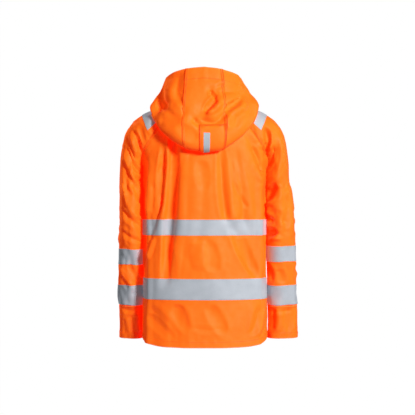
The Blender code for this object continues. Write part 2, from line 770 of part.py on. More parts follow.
def collar_point(turn, share):
    """A point of the standing collar's outer face, from its seam (0) to its top edge (1)."""
    base = neck_point(turn)
    away = unit(base * (1, 1, 0))
    rise = SEAM_GAP + (COLLAR_RISE - SEAM_GAP) * share
    return base - away * COLLAR_LEAN * share + np.array([0, 0, rise])


# ---- Assembly -------------------------------------------------------------------------------
def clear_scene():
    for obj in list(bpy.data.objects):
        bpy.data.objects.remove(obj, do_unlink=True)


def join_normals(back, fronts, sleeves, keep_folded=True):
    """Shares the normals along every seam of the body and sleeves."""
    low = slice(0, LOW_ROWS)
    high = slice(LOW_ROWS, None)
    high_sleeve = slice(RISING - 1, None, -1)
    under_arm = slice(RISING, None)
    for side, column in (("left", -1), ("right", 0)):
        front, sleeve = fronts[side], sleeves[side]
        share_normals((back, low, column), (front, low, -1))
        share_normals((back, high, column), (sleeve, high_sleeve, 0), keep_folded=keep_folded)
        share_normals((front, high, -1), (sleeve, high_sleeve, -1), keep_folded=keep_folded)
        share_normals((sleeve, under_arm, 0), (sleeve, under_arm, -1))
    share_normals((fronts["left"], ALL, 0), (fronts["right"], ALL, 0))


def build():
    clear_scene()
    back = Sheet(back_grid(), flip=True)
    left_front = Sheet(front_grid())
    fronts = {"left": left_front, "right": left_front.mirrored()}
    descent = slice(None, LOW_ROWS - 2, -1)
    seam_back, seam_front = back.points[descent, -1], left_front.points[descent, -1]
    sleeves = {}
    for side in ("left", "right"):
        sleeves[side] = Sheet(sleeve_grid(side, seam_back, seam_front))
    sleeves["right"] = sleeves["right"].mirrored()
    cloth = (back, *fronts.values(), *sleeves.values())
    join_normals(back, fronts, sleeves, keep_folded=False)
    for sheet in cloth:
        sheet.points = crumple(sheet.points, sheet.normals)
        sheet.find_normals()
        sheet.find_diagonals()
    join_normals(back, fronts, sleeves)

    upper = slice(row_of(UPPER_BAND_TOP - NARROW_TAPE), row_of(UPPER_BAND_TOP) + 1)
    lower = slice(row_of(LOWER_BAND_TOP - WIDE_TAPE), row_of(LOWER_BAND_TOP) + 1)
    wall("back", back)
    for name, rows in (("upper", upper), ("lower", lower)):
        wall("tape_back_" + name, back.part(rows), "tape", TAPE, LAYER_GAP)
    for side, front in fronts.items():
        wall("front_" + side, front)
        for name, rows in (("upper", upper), ("lower", lower)):
            beside = front.part(rows, slice(FLAP_COLUMNS, None))
            wall(f"tape_front_{side}_{name}", beside, "tape", TAPE, LAYER_GAP)

    for side, sleeve in sleeves.items():
        cuff = arm_row(side, CUFF_SEAM)
        wall("sleeve_" + side, sleeve.part(slice(None, cuff + 1)))
        wall("cuff_" + side, sleeve.part(slice(cuff, None)))
        for name, top, width in (
            ("upper", SLEEVE_UPPER_BAND[side], NARROW_TAPE),
            ("lower", SLEEVE_LOWER_BAND[side], SLEEVE_TAPE),
        ):
            rows = slice(arm_row(side, top), arm_row(side, top - width) + 1)
            wall(f"tape_sleeve_{side}_{name}", sleeve.part(rows), "tape", TAPE, LAYER_GAP)
        climbs = CLIMBS[::-1]
        strip = slice(int(np.argmin(abs(climbs - STRIP_TO))), int(np.argmin(abs(climbs - STRIP_FROM))) + 1)
        across = slice(STRIP_BEHIND, STRIP_AHEAD + 1)
        wall("tape_shoulder_" + side, sleeve.part(strip, across), "tape", TAPE, LAYER_GAP)

    # The storm flap lies on both fronts and runs on up the collar, whose columns match its own.
    edge = 1 - RAGLAN_FRONT[-1][2]
    half_flap = -1 + (NECK_RAGLAN_FRONT + 1) * front_shares(edge)[: FLAP_COLUMNS + 1] / edge
    half_turns = np.concatenate([half_flap, np.linspace(half_flap[-1], 1, COLLAR_COLUMNS)[1:]])
    turns = np.concatenate([half_turns, 2 - half_turns[-2::-1]])
    shares = np.linspace(0, 1, COLLAR_ROWS + 1)
    collar = Sheet([collar_point(turns, share) for share in shares])
    wall("collar", collar, thickness=COLLAR_CLOTH)
    left, right = (fronts[side].points[:, : FLAP_COLUMNS + 1] for side in ("left", "right"))
    low_flap = np.concatenate([right[:, :0:-1], left], axis=1)
    flap_turns = np.concatenate([-2 - half_flap[:0:-1], half_flap])
    on_collar = [collar_point(flap_turns, share) for share in (*shares[1:-1], 0.97)]
    flap = Sheet(np.concatenate([low_flap, on_collar]))
    wall("storm_flap", flap, lift=LAYER_GAP)
    for name, rows in (("upper", upper), ("lower", lower)):
        wall("tape_flap_" + name, flap.part(rows), "tape", TAPE, 2 * LAYER_GAP + CLOTH)

    wanted = (-0.700, -0.500, -0.330, -0.215, -0.105, -0.012)
    for i, height in enumerate(wanted):
        column = 1
        row = int(np.argmin(abs(flap.points[:, column, 2] - height)))
        row = min(max(row, 1), len(flap.points) - 2)
        point, normal = flap.points[row, column], flap.normals[row, column]
        lift = LAYER_GAP + CLOTH + STUD_LIFT
        stud(f"stud_{i + 1}", point + normal * lift, normal)

    seam = HOOD_PANEL_SEAM
    ground = ground_of(cloth)
    grounds = (ground_of([sheet.mirrored() for sheet in cloth]), ground)
    middle = hood_sheet(HOOD_MIDDLE_PLACES, grounds)
    left = hood_sheet(np.linspace(seam, 1, HOOD_SIDE_COLUMNS + 1), grounds)
    right = hood_sheet(np.linspace(-1, -seam, HOOD_SIDE_COLUMNS + 1), grounds)
    for sheet in (middle, left, right):
        clear_of(ground, sheet)
    for folded in (False, True):
        share_normals((middle, ALL, -1), (left, ALL, 0))
        share_normals((middle, ALL, 0), (right, ALL, -1))
        if not folded:
            for sheet in (middle, left, right):
                sheet.points = crumple(sheet.points, sheet.normals, HOOD_FOLDS)
                sheet.find_normals()
                sheet.find_diagonals()
    wall("hood_middle", middle)
    wall("hood_left", left)
    wall("hood_right", right)
    tab_end = int(np.argmin(abs(HOOD_MIDDLE_PLACES - TAB_SIDE)))
    tab_rows = slice(HOOD_ROWS_IN - 1, HOOD_ROWS_IN + TAB_ROWS + 1)
    wall("hood_tab", middle.part(tab_rows, slice(None, tab_end + 1)), lift=LAYER_GAP)


build()
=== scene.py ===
"""Looks of the hooded hi-vis work jacket, worn with no wearer in it and seen from behind.

Each packed wall is read back as a grid, drawn again on a fine grid, creased, given its seams and
stitches, and closed into a thin shell in its solid's place. +Z is up, +X the wearer's left and +Y
behind the wearer. Everything is in metres that isn't said to be in mm."""

import json
import math

import bmesh
import bpy
import numpy as np
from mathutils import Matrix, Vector

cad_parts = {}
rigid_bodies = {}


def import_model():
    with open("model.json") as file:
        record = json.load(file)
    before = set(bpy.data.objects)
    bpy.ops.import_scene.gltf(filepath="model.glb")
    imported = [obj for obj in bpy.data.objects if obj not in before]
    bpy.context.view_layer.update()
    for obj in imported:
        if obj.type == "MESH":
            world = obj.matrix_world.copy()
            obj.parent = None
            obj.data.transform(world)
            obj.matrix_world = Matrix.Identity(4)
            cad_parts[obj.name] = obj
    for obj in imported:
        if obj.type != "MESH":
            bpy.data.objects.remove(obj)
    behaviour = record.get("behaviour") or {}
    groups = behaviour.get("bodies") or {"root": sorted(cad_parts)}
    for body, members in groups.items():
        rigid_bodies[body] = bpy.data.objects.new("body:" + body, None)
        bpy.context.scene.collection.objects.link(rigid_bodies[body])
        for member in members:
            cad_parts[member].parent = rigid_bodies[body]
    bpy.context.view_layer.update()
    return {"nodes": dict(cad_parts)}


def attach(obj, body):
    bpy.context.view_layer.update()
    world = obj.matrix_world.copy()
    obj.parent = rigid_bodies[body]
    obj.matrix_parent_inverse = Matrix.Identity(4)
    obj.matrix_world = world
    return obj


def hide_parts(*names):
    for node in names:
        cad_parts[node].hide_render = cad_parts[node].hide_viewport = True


for obj in list(bpy.data.objects):
    bpy.data.objects.remove(obj, do_unlink=True)

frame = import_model()
scene = bpy.context.scene

STEP = 0.0033  # the fine grid's spacing
WALL = 0.0015  # how thick the cloth is
PACKED = {"tape": 0.0010, "collar": 0.0022}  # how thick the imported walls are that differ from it
SEAM_GAP = 0.0002  # how far each packed wall's edges stand back from its seams' middles
HEM, RIM = 18.3, 38.3  # how far in a hem's and the hood's rim's stitches run (mm)
EYE = np.array([-10.0, 4000.0, -336.0])  # where the camera stands (mm)
BACK, FRONT, UP, DOWN = (0, 1, 0), (0, -1, 0), (0, 0, 1), (0, 0, -1)


# ---- Numbers --------------------------------------------------------------------------------
def unit(vectors):
    return vectors / np.maximum(np.linalg.norm(vectors, axis=-1, keepdims=True), 1e-12)


def smooth(value, low, high):
    t = np.clip((value - low) / (high - low), 0, 1)
    return t * t * (3 - 2 * t)


def spline(points, at, wanted):
    """The values at the wanted places of a smooth curve through the points, along axis 0."""
    gap = np.diff(at).reshape(-1, *[1] * (points.ndim - 1))
    slope = np.diff(points, axis=0) / gap
    inner = (slope[:-1] * gap[1:] + slope[1:] * gap[:-1]) / (gap[1:] + gap[:-1])
    first = 1.5 * slope[:1] - 0.5 * inner[:1] if len(inner) else slope[:1]
    last = 1.5 * slope[-1:] - 0.5 * inner[-1:] if len(inner) else slope[-1:]
    slopes = np.concatenate([first, inner, last])
    i = np.clip(np.searchsorted(at, wanted, side="right") - 1, 0, len(at) - 2)
    t = ((wanted - at[i]) / (at[i + 1] - at[i])).reshape(-1, *[1] * (points.ndim - 1))
    h = gap[i]
    a, b, c, d = points[i], points[i + 1], slopes[i] * h, slopes[i + 1] * h
    return a + t * (c + t * (3 * (b - a) - 2 * c - d + t * (2 * (a - b) + c + d)))


def run(points):
    """How far along a line each of its points is."""
    return np.concatenate([[0], np.cumsum(np.linalg.norm(np.diff(points, axis=0), axis=1))])


def nearest_on(line, points):
    """Each point's way from the nearest place on a line, the step of the line that the place is on,
    and how far along the line that is, as a share."""
    step, at = np.diff(line, axis=0), points[:, None]
    share = np.clip(np.sum((at - line[:-1]) * step, -1) / np.sum(step * step, -1), 0, 1)
    away = at - line[:-1] - share[..., None] * step
    nearest = np.argmin(np.sum(away * away, -1), axis=1)
    pick = np.arange(len(nearest)), nearest
    return away[pick], step[nearest], (nearest + share[pick]) / len(step)


def hashed(cells, seed):
    """A number from -1 to 1 for each whole-numbered cell."""
    mixed = cells.astype(np.int64) @ np.array([73856093, 19349663, 83492791]) + seed * 2654435761
    mixed = (mixed ^ (mixed >> 13)) * 1274126177
    mixed = (mixed ^ (mixed >> 16)) & 0xFFFFFF
    return mixed / float(0x7FFFFF) - 1


def noise(points, size, seed=0):
    """Smooth value noise from -1 to 1, with one feature for each size, one number or three."""
    at = points / np.array(size)
    base = np.floor(at)
    t = at - base
    t = t * t * t * (t * (t * 6 - 15) + 10)
    total = 0
    for corner in np.ndindex(2, 2, 2):
        weight = np.prod(np.where(np.array(corner) == 1, t, 1 - t), axis=-1)
        total = total + weight * hashed(base + corner, seed)
    return total


def add_object(name, data):
    added = bpy.data.objects.new(name, data)
    scene.collection.objects.link(added)
    return added


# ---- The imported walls, read back as grids ---------------------------------------------------
MERGED, ALIKE = 5e-5, 2e-5  # how near points are that are one, and lengths that are the same


def packed_sheets(node):
    """A packed wall's points, and the triangles of the two sheets between its rims, whose own
    triangles each have an edge as long as the wall is thick."""
    rim = PACKED.get(node.split("_")[0], WALL)
    bm = bmesh.new()
    bm.from_mesh(frame["nodes"][node].data)
    bmesh.ops.remove_doubles(bm, verts=bm.verts, dist=MERGED)
    bm.verts.index_update()
    points = np.array([v.co for v in bm.verts])
    wide = [f for f in bm.faces if min(abs(e.calc_length() - rim) for e in f.edges) > ALIKE]
    left = set(wide)
    sheets = []
    while left:
        found, border = [], [next(f for f in wide if f in left)]
        left.discard(border[0])
        while border:
            face = border.pop()
            found.append([v.index for v in face.verts])
            for edge in face.edges:
                for other in edge.link_faces:
                    if other in left:
                        left.discard(other)
                        border.append(other)
        sheets.append(found)
    bm.free()
    return points, sheets


def fill_grid(across, loop, start, rows, columns):
    """The grid of point numbers inside the loop, if its first corner is at start, or None."""
    ring = loop[start:] + loop[:start]
    grid = np.full((rows, columns), -1)
    grid[0] = ring[:columns]
    grid[:, -1] = ring[columns - 1 : columns + rows - 1]
    grid[-1] = ring[columns + rows - 2 : 2 * columns + rows - 2][::-1]
    grid[:, 0] = (ring[2 * columns + rows - 3 :] + ring[:1])[::-1]
    for r in range(rows - 1):
        for c in range(columns - 1):
            a, b, e = grid[r, c], grid[r, c + 1], grid[r + 1, c]
            d = across.get((a, b))
            if d == e:
                d = across.get((e, b))
            if d is None or grid[r + 1, c + 1] not in (-1, d):
                return None
            grid[r + 1, c + 1] = d
    return grid if len(set(grid.flat)) == grid.size else None


TRIES = 40  # how many of the likeliest first corners are tried


def read_grid(node, down, tall=False, facing=None):
    """A packed wall's outer sheet as rows and columns of points. The rows follow one another along
    down, and seen from outside the columns run to the right of that way."""
    points, sheets = packed_sheets(node)
    if len(sheets) != 2:
        raise ValueError(f"{node}: {len(sheets)} sheets")
    corners = [points[np.array(sheet)] for sheet in sheets]
    areas = [np.cross(k[:, 1] - k[:, 0], k[:, 2] - k[:, 0]) / 2 for k in corners]
    if facing is None:
        outer = int(np.argmax([np.linalg.norm(area, axis=1).sum() for area in areas]))
    else:
        outer = int(np.argmax([area.sum(0) @ np.array(facing) for area in areas]))
    across = {}
    for a, b, c in sheets[outer]:
        across.update({(a, b): c, (b, c): a, (c, a): b})
    following = {a: b for a, b in across if (b, a) not in across}
    loop = [next(iter(following))]
    while following[loop[-1]] != loop[0]:
        loop.append(following[loop[-1]])
    # A grid's count of points and the length of the loop round it give its rows and columns.
    total, half = len({a for a, _ in across}), len(loop) // 2 + 2
    spread = math.isqrt(max(half * half - 4 * total, 0))
    shape = (half - spread) // 2, (half + spread) // 2
    ring = points[loop]
    ahead = unit(np.roll(ring, -1, axis=0) - ring)
    turn = 1 - np.sum(ahead * np.roll(ahead, 1, axis=0), axis=1)
    tries = []
    for rows, columns in {shape, shape[::-1]}:
        places = np.array([0, columns - 1, columns + rows - 2, 2 * columns + rows - 3])
        for start in range(len(loop)):
            tries.append((-turn[(places + start) % len(loop)].sum(), start, rows, columns))
    for _, start, rows, columns in sorted(tries)[:TRIES]:
        grid = fill_grid(across, loop, start, rows, columns)
        if grid is not None:
            break
    else:
        raise ValueError(f"{node}: no grid of {total} points round a loop of {len(loop)}")
    turned = [np.rot90(grid, k) for k in range(4)]
    if tall:
        turned = [g for g in turned if g.shape[0] > g.shape[1]]
    best = max(turned, key=lambda g: (points[g[-1]].mean(0) - points[g[0]].mean(0)) @ np.array(down))
    return points[best]


def find_normals(points):
    return unit(np.cross(np.gradient(points, axis=1), np.gradient(points, axis=0)))


# ---- Fine sheets ----------------------------------------------------------------------------
# How far in from every edge the nearest rows lie, how far beside a hem's stitches more of them lie,
# and how far in they lie on a piece that is cut out of another.
EDGE_ROWS = np.array([0.0008, 0.0018, 0.0030, 0.0045, 0.0064, 0.0080, 0.0095, 0.0125])
HEM_ROWS = np.array([-0.0028, -0.0011, 0.0, 0.0011, 0.0022, 0.0039])
LAID_ROWS = np.array([0.0008, 0.0020, 0.0042])
CLEAR, LAID_CLEAR = 0.0010, 0.0013  # how far from these the other rows stay


def chord(points, axis):
    """How far along the sheet each row or column lies, on average."""
    steps = np.linalg.norm(np.diff(points, axis=axis), axis=-1).mean(axis=1 - axis)
    return np.concatenate([[0], np.cumsum(steps)])


def fine_places(at, hem=0):
    """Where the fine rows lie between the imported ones, with hem for how far in the last one's hem
    is sewn."""
    places = [at[:1]]
    for low, high in zip(at, at[1:]):
        count = max(1, round((high - low) / STEP))
        places.append(np.linspace(low, high, count + 1)[1:])
    places = np.concatenate(places)
    last = np.concatenate([EDGE_ROWS, HEM_ROWS + hem]) if hem else EDGE_ROWS
    inside = (places > EDGE_ROWS[-1] + CLEAR) & (places < places[-1] - last[-1] - CLEAR)
    return np.concatenate([at[:1], EDGE_ROWS, places[inside], at[-1] - last[::-1], at[-1:]])


class Cloth:
    """One piece of cloth: its outer face on a fine grid, with every point's normal."""

    def __init__(self, node, down=DOWN, tall=False, facing=None, hem=0):
        self.node = node
        self.coarse = coarse = read_grid(node, down, tall, facing)
        self.marks = rows_at, columns_at = chord(coarse, 0), chord(coarse, 1)
        self.rows_at, self.columns_at = fine_places(rows_at, hem), fine_places(columns_at)
        points = spline(coarse, rows_at, self.rows_at).swapaxes(0, 1)
        points = spline(points, columns_at, self.columns_at).swapaxes(0, 1)
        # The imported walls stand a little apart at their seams, and are drawn up to each other here.
        for grid in (points, points.swapaxes(0, 1)):
            for edge, inner in ((0, 1), (-1, -2)):
                grid[edge] += unit(grid[edge] - grid[inner]) * SEAM_GAP
        self.points = points
        self.normals = find_normals(points)
        self.marked = np.zeros(points.shape[:2])  # up to 1 where shade is painted along a seam's stitching and beside an edge that lies under another, -1 at an edge that rubs
        self.measure()

    def measure(self):
        """How far each point is from the first and last row and column."""
        down = np.linalg.norm(np.diff(self.points, axis=0), axis=-1)
        along = np.linalg.norm(np.diff(self.points, axis=1), axis=-1)
        top = np.pad(np.cumsum(down, axis=0), ((1, 0), (0, 0)))
        left = np.pad(np.cumsum(along, axis=1), ((0, 0), (1, 0)))
        self.far = {"top": top, "bottom": top[-1:] - top, "left": left, "right": left[:, -1:] - left}

    def flat_size(self):
        """The width and length that the piece was cut to, in metres, and its area in square metres."""
        down, along = np.diff(self.points, axis=0), np.diff(self.points, axis=1)
        area = np.linalg.norm(np.cross(down[:, :-1], along[:-1]), axis=-1).sum()
        size = self.far["left"][:, -1].max(), self.far["top"][-1].max()
        return tuple(round(float(side), 3) for side in size), round(float(area), 4)

    def push(self, height):
        self.points = self.points + self.normals * height[..., None]
        self.normals = find_normals(self.points)
        self.measure()

    def at(self, r, c):
        """The point and normal at rows r and columns c, which need not be whole."""
        i = np.clip(np.floor(r).astype(int), 0, self.points.shape[0] - 2)
        j = np.clip(np.floor(c).astype(int), 0, self.points.shape[1] - 2)
        s, t = (r - i)[:, None], (c - j)[:, None]
        values = []
        for grid in (self.points, self.normals):
            low = grid[i, j] * (1 - t) + grid[i, j + 1] * t
            high = grid[i + 1, j] * (1 - t) + grid[i + 1, j + 1] * t
            values.append(low * (1 - s) + high * s)
        return values[0], unit(values[1])

    def span(self, node, **facts):
        """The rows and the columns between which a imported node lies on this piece."""
        grid = read_grid(node, **facts)
        spans = []
        for corner in (grid[0, 0], grid[-1, -1]):
            gap = np.linalg.norm(self.coarse - corner, axis=-1)
            spans.append(np.unravel_index(np.argmin(gap), gap.shape))
        return [[self.marks[i][span[i]] for span in spans] for i in (0, 1)]

    def ease(self, height, rows, columns):
        """A height with its creases evened out between two rows and columns, under stiffer tape, and
        less and less so up to 7 mm beside it."""
        within = [
            smooth(np.minimum(at - low, high - at), -0.007, 0.001)
            for at, (low, high) in ((self.rows_at, rows), (self.columns_at, columns))
        ]
        even = height
        for _ in range(4):
            wide = np.pad(even, 1, mode="edge")
            even = sum(wide[i : i + len(even), j : j + even.shape[1]] for i in range(3) for j in range(3)) / 9
        return height + (even - height) * within[0][:, None] * within[1][None]

    def cut(self, node, lift, rows, columns, flare=0):
        """The piece of cloth that lies on this one between two rows and two columns, with its first
        row's ends as much as flare further out."""
        piece = object.__new__(Cloth)
        piece.node = node
        own = []
        for (low, high), marks in zip((rows, columns), (self.rows_at, self.columns_at)):
            clear = LAID_ROWS[-1] + LAID_CLEAR
            inner = marks[(marks > low + clear) & (marks < high - clear)]
            own.append(np.concatenate([[low], low + LAID_ROWS, inner, high - LAID_ROWS[::-1], [high]]))
        piece.rows_at, piece.columns_at = own
        r, c = np.meshgrid(*own, indexing="ij")
        t = (c - columns[0]) / (columns[1] - columns[0])
        c = c + flare * (t**6 - (1 - t) ** 6) * (rows[1] - r) / (rows[1] - rows[0])
        r = np.interp(r, self.rows_at, np.arange(len(self.rows_at)))
        c = np.interp(c, self.columns_at, np.arange(len(self.columns_at)))
        points, normals = self.at(r.reshape(-1), c.reshape(-1))
        piece.points = (points + normals * lift).reshape(*r.shape, 3)
        piece.normals = find_normals(piece.points)
        piece.marked = np.zeros(r.shape)
        piece.measure()
        return piece

    def line(self, edge, distance, low=-9, high=9, short=0):
        """A line that runs at a distance from an edge, between two heights, and ends short of the
        edges beside it: its points and normals."""
        upright = edge in ("left", "right")
        far = self.far[edge] if upright else self.far[edge].T
        count = np.arange(far.shape[1])
        back = far[0, 0] > far[0, -1]
        turned = (far[:, ::-1], count[::-1]) if back else (far, count)
        places = np.array([np.interp(distance, values, turned[1]) for values in turned[0]])
        rows = np.arange(len(far), dtype=float)
        points, normals = self.at(rows, places) if upright else self.at(places, rows)
        at = run(points)
        kept = (at >= short) & (at <= at[-1] - short) & (points[:, 2] >= low) & (points[:, 2] <= high)
        return points[kept], normals[kept]


ROUNDING = 0.35  # how far a cloth's edges bulge, as a share of how thick it is


def shell(name, cloth, thickness, finish, coarse):
    """Closes a sheet into a thin wall with rounded edges, whose inner face is a coarser grid: every
    second row and column of the outer one with coarse at 2, and all of its edges."""
    points, normals = cloth.points, cloth.normals
    rows, columns = points.shape[:2]
    inner = points - normals * thickness
    number = np.arange(rows * columns).reshape(rows, columns)
    corners = number[:-1, :-1], number[:-1, 1:], number[1:, 1:], number[1:, :-1]
    faces = [np.stack(corners, -1).reshape(-1, 4)]
    ring = np.concatenate([number[0, :-1], number[:-1, -1], number[-1, :0:-1], number[:0:-1, 0]])
    flat_points, flat_inner = points.reshape(-1, 3), inner.reshape(-1, 3)
    inward = np.concatenate([
        points[1, :-1] - points[0, :-1], points[:-1, -2] - points[:-1, -1],
        points[-2, :0:-1] - points[-1, :0:-1], points[:0:-1, 1] - points[:0:-1, 0],
    ])
    middle = (flat_points[ring] + flat_inner[ring]) / 2 - unit(inward) * thickness * ROUNDING
    keep_rows = sorted({*range(0, rows, coarse), rows - 1})
    keep_columns = sorted({*range(0, columns, coarse), columns - 1})
    below = np.full((rows, columns), -1)
    kept = np.zeros((rows, columns), bool)
    kept[np.ix_(keep_rows, keep_columns)] = True
    kept[0] = kept[-1] = kept[:, 0] = kept[:, -1] = True
    first = rows * columns + len(ring)
    below[kept] = first + np.arange(kept.sum())
    vertices = np.concatenate([flat_points, middle, inner[kept]])
    middles = rows * columns + np.arange(len(ring))
    under = below.reshape(-1)[ring]
    for a, b in ((ring, middles), (middles, under)):
        faces.append(np.stack([np.roll(a, -1), a, b, np.roll(b, -1)], -1))
    faces = [list(map(int, face)) for group in faces for face in group]
    for r0, r1 in zip(keep_rows, keep_rows[1:]):
        for c0, c1 in zip(keep_columns, keep_columns[1:]):
            face = [(r0, c) for c in range(c0, c1)] + [(r, c1) for r in range(r0, r1)]
            face += [(r1, c) for c in range(c1, c0, -1)] + [(r, c0) for r in range(r1, r0, -1)]
            faces.append([int(below[place]) for place in reversed(face) if kept[place]])
    mesh = bpy.data.meshes.new(name)
    mesh.from_pydata(vertices, [], faces)
    mesh.update()
    grid = np.stack(np.meshgrid(cloth.columns_at, cloth.rows_at), -1)
    places = np.concatenate([grid.reshape(-1, 2), grid.reshape(-1, 2)[ring], grid[kept]])
    loops = np.zeros(len(mesh.loops), np.int32)
    mesh.loops.foreach_get("vertex_index", loops)
    mesh.uv_layers.new(name="cloth").data.foreach_set("uv", places[loops].astype(np.float32).reshape(-1))
    # marked carries the painted seam shade (above 0) and the rubbed wear (below 0) into the mesh
    marked = cloth.marked.reshape(-1)
    marked = np.concatenate([marked, marked[ring], np.zeros(kept.sum())]).astype(np.float32)
    mesh.attributes.new("marked", "FLOAT", "POINT").data.foreach_set("value", marked)
    mesh.materials.append(finish)
    mesh.shade_smooth()
    return add_object(name, mesh)


# ---- Creases --------------------------------------------------------------------------------
def side_of(view, points, normals):
    """Where points lie as seen from one side, in mm along x, or along y for the left and the right,
    and along z, and how squarely they face that side."""
    across, facing = {"back": (0, 1), "front": (0, 1), "left": (1, 0), "right": (1, 0)}[view]
    sign = 1 if view in ("back", "left") else -1
    return points[..., [across, 2]] * 1000, normals[..., facing] * sign


def crease_height(flat, row):
    """How high one crease stands at places seen from its side, in mm. A narrow one is sharp at its
    bottom, and a wide one is a round trough between two sharper shoulders."""
    first, middle, last = np.array(row[:6], float).reshape(3, 2)
    half, height, lean = *row[6:8], row[8] if row[8:] else 0
    total = np.zeros(flat.shape[:-1])
    t = np.linspace(0, 1, 17)[:, None]
    control = 2 * middle - (first + last) / 2
    curve = (1 - t) ** 2 * first + 2 * t * (1 - t) * control + t * t * last
    low, high = curve.min(0) - 3.6 * half, curve.max(0) + 3.6 * half
    near = np.all((flat > low) & (flat < high), axis=-1)
    if not near.any():
        return total
    away, step, along = nearest_on(curve, flat[near])
    side = np.sign(step[:, 0] * away[:, 1] - step[:, 1] * away[:, 0])
    wide = half * (0.75 + 0.5 * np.sin(math.pi * along)) * (1 + lean * side)
    s = np.linalg.norm(away, axis=1) / wide
    taper = smooth(along, 0, 0.22) * smooth(1 - along, 0, 0.22)
    bowl = 1 - (s / 1.45) ** 2
    trough = (bowl + np.sqrt(bowl * bowl + 0.01)) / 2
    notch = np.exp(-1.5 * np.sqrt(s * s + 0.012) ** 1.2)
    sharp = smooth(-half, -14, -6)
    shape = notch * sharp + trough * (1 - sharp) - 0.2 * np.exp(-3 * (s - 1.8) ** 2)
    total[near] = height * taper * shape
    return total


def crease(cloth, groups):
    """The height of all of a piece's creases, in metres."""
    total = np.zeros(cloth.points.shape[:2])
    for (group, view), rows in CREASES.items():
        if group not in groups:
            continue
        flat, facing = side_of(view, cloth.points, cloth.normals)
        for row in rows:
            total += crease_height(flat, row) * smooth(facing, 0.0, 0.45) * calm(cloth, view)
    return total / 1000


def calm(cloth, view="back"):
    """How much of their creases the pieces keep towards the arms' outer sides."""
    outward = {"left": 1, "right": -1}.get(cloth.node.split("_")[-1], 0)
    if not cloth.node.startswith(("sleeve", "cuff")):
        return 1
    less = 0.6 if view in ("back", "front") else 0.25
    return 1 - less * smooth(cloth.normals[..., 0] * outward, 0.6, 1.0)


SLEEVE_SWELL, BACK_SWELL = 0.010, 0.007  # how far the sleeves and the back fill out at most
SIDE_SWELL, CUFF_SWELL = 0.0045, 0.0035  # and the body's side and the sleeve, low on the right


def swell(cloth):
    """How far the sleeves fill out behind, towards the body, and the back beside them, in metres.
    Low down on the wearer's right, the body's side and the sleeve fill out towards each other."""
    low = cloth.points[..., 2]
    beside = smooth(-low, 0.50, 0.62) * (1 - 0.35 * smooth(-low, 0.66, 0.74))
    side = SIDE_SWELL * beside * smooth(-cloth.normals[..., 0], 0.3, 0.9)
    if cloth.node == "back":
        squarely = np.abs(cloth.normals[..., 0]) * 0.55 + cloth.normals[..., 1] * 0.83
        far = BACK_SWELL * smooth(squarely, 0.86, 0.98) * smooth(np.abs(cloth.points[..., 0]), 0.160, 0.180)
        far = np.maximum(far, side)
    elif cloth.node == "front_right":
        far = side
    elif cloth.node.startswith(("sleeve", "cuff")):
        inward = 0.66 if cloth.node.endswith("right") else -0.66
        far = SLEEVE_SWELL * smooth(cloth.normals @ unit(np.array([inward, 0.75, 0.0])), 0.55, 1.0)
        if cloth.node.endswith("right"):
            far = np.maximum(far, CUFF_SWELL * beside * smooth(cloth.normals[..., 0], 0.5, 0.95))
    else:
        return np.zeros(cloth.points.shape[:2])
    return far * smooth(-low, 0.16, 0.25)


# The lesser folds of each kind of piece: how far they go to the wearer's left for each step down,
# how long and how far apart they are (mm), how high the sharp ones and the soft ones stand, and how
# high the small dents are.
FOLDS = {
    # slant, long, apart, sharp, soft, dents
    "back": (0.10, 190, 62, 1.1, 1.6, 0.45),
    "front": (-0.10, 190, 56, 1.3, 1.8, 0.5),
    "sleeve_left": (-0.55, 95, 24, 2.0, 1.1, 0.5),
    "sleeve_right": (-0.40, 95, 27, 1.6, 1.1, 0.45),
    "cuff_left": (-0.50, 80, 34, 1.8, 1.2, 0.4),
    "cuff_right": (0.20, 80, 34, 1.6, 1.2, 0.4),
    "hood": (0.45, 100, 52, 0.9, 1.3, 0.25),
    "collar": (0.0, 80, 40, 0.4, 0.5, 0.2),
    "storm": (0.0, 120, 40, 0.4, 0.6, 0.25),
}


def crumple(cloth):
    """Lesser folds that run one way over a piece, and the dents between them, in metres."""
    facts = FOLDS.get(cloth.node) or FOLDS[cloth.node.split("_")[0]]
    slant, long, apart, sharp, soft, dents = facts
    ahead = unit(np.array([slant, 0.0, -1.0]))
    across = unit(np.cross(ahead, (0, 1, 0)))
    turned = cloth.points @ np.stack([across, np.cross(ahead, across), ahead], 1) * 1000
    turned = turned + 0.35 * apart * noise(turned, 2.2 * apart, 5)[..., None]
    seed = len(cloth.node.split("_")[0] if cloth.node.startswith("hood") else cloth.node)
    ridges = 1 - 2.2 * np.abs(noise(turned, (apart, apart, long), seed))
    total = sharp * ridges + soft * noise(turned, (1.7 * apart, 1.7 * apart, 1.5 * long), seed + 1)
    small = 1 - 2 * np.abs(noise(turned, (0.4 * apart, 0.4 * apart, 0.3 * long), seed + 2))
    total += dents * (small + noise(turned, 0.3 * apart, seed + 3))
    return total * calm(cloth) / 1000


# ---- Seams ----------------------------------------------------------------------------------
# How each kind of edge is sewn: how wide its doubled cloth is and how high that stands, where its
# rows of stitches run, and how much the cloth puckers beside them (mm).
SEWN = {
    #        width, height, rows, pucker
    "over": (8.8, 1.4, (1.6, 7.6), 0.6),
    "lap": (8.2, 1.4, (1.4, 7.0), 0.35),
    "hem": (20.0, 1.1, (HEM,), 0.6),
    "rim": (40.0, 0.9, (RIM,), 0.5),
    "edge": (6.6, 0.4, (5.2,), 0.25),
    "patch": (6.6, 0.5, (5.2,), 0.25),
    "under": (0.0, 0.0, (), 0.5),
}
STITCH_WIDTH, STITCH_DEPTH = 1.2, 0.7  # half the width and the depth of a row's trench (mm)


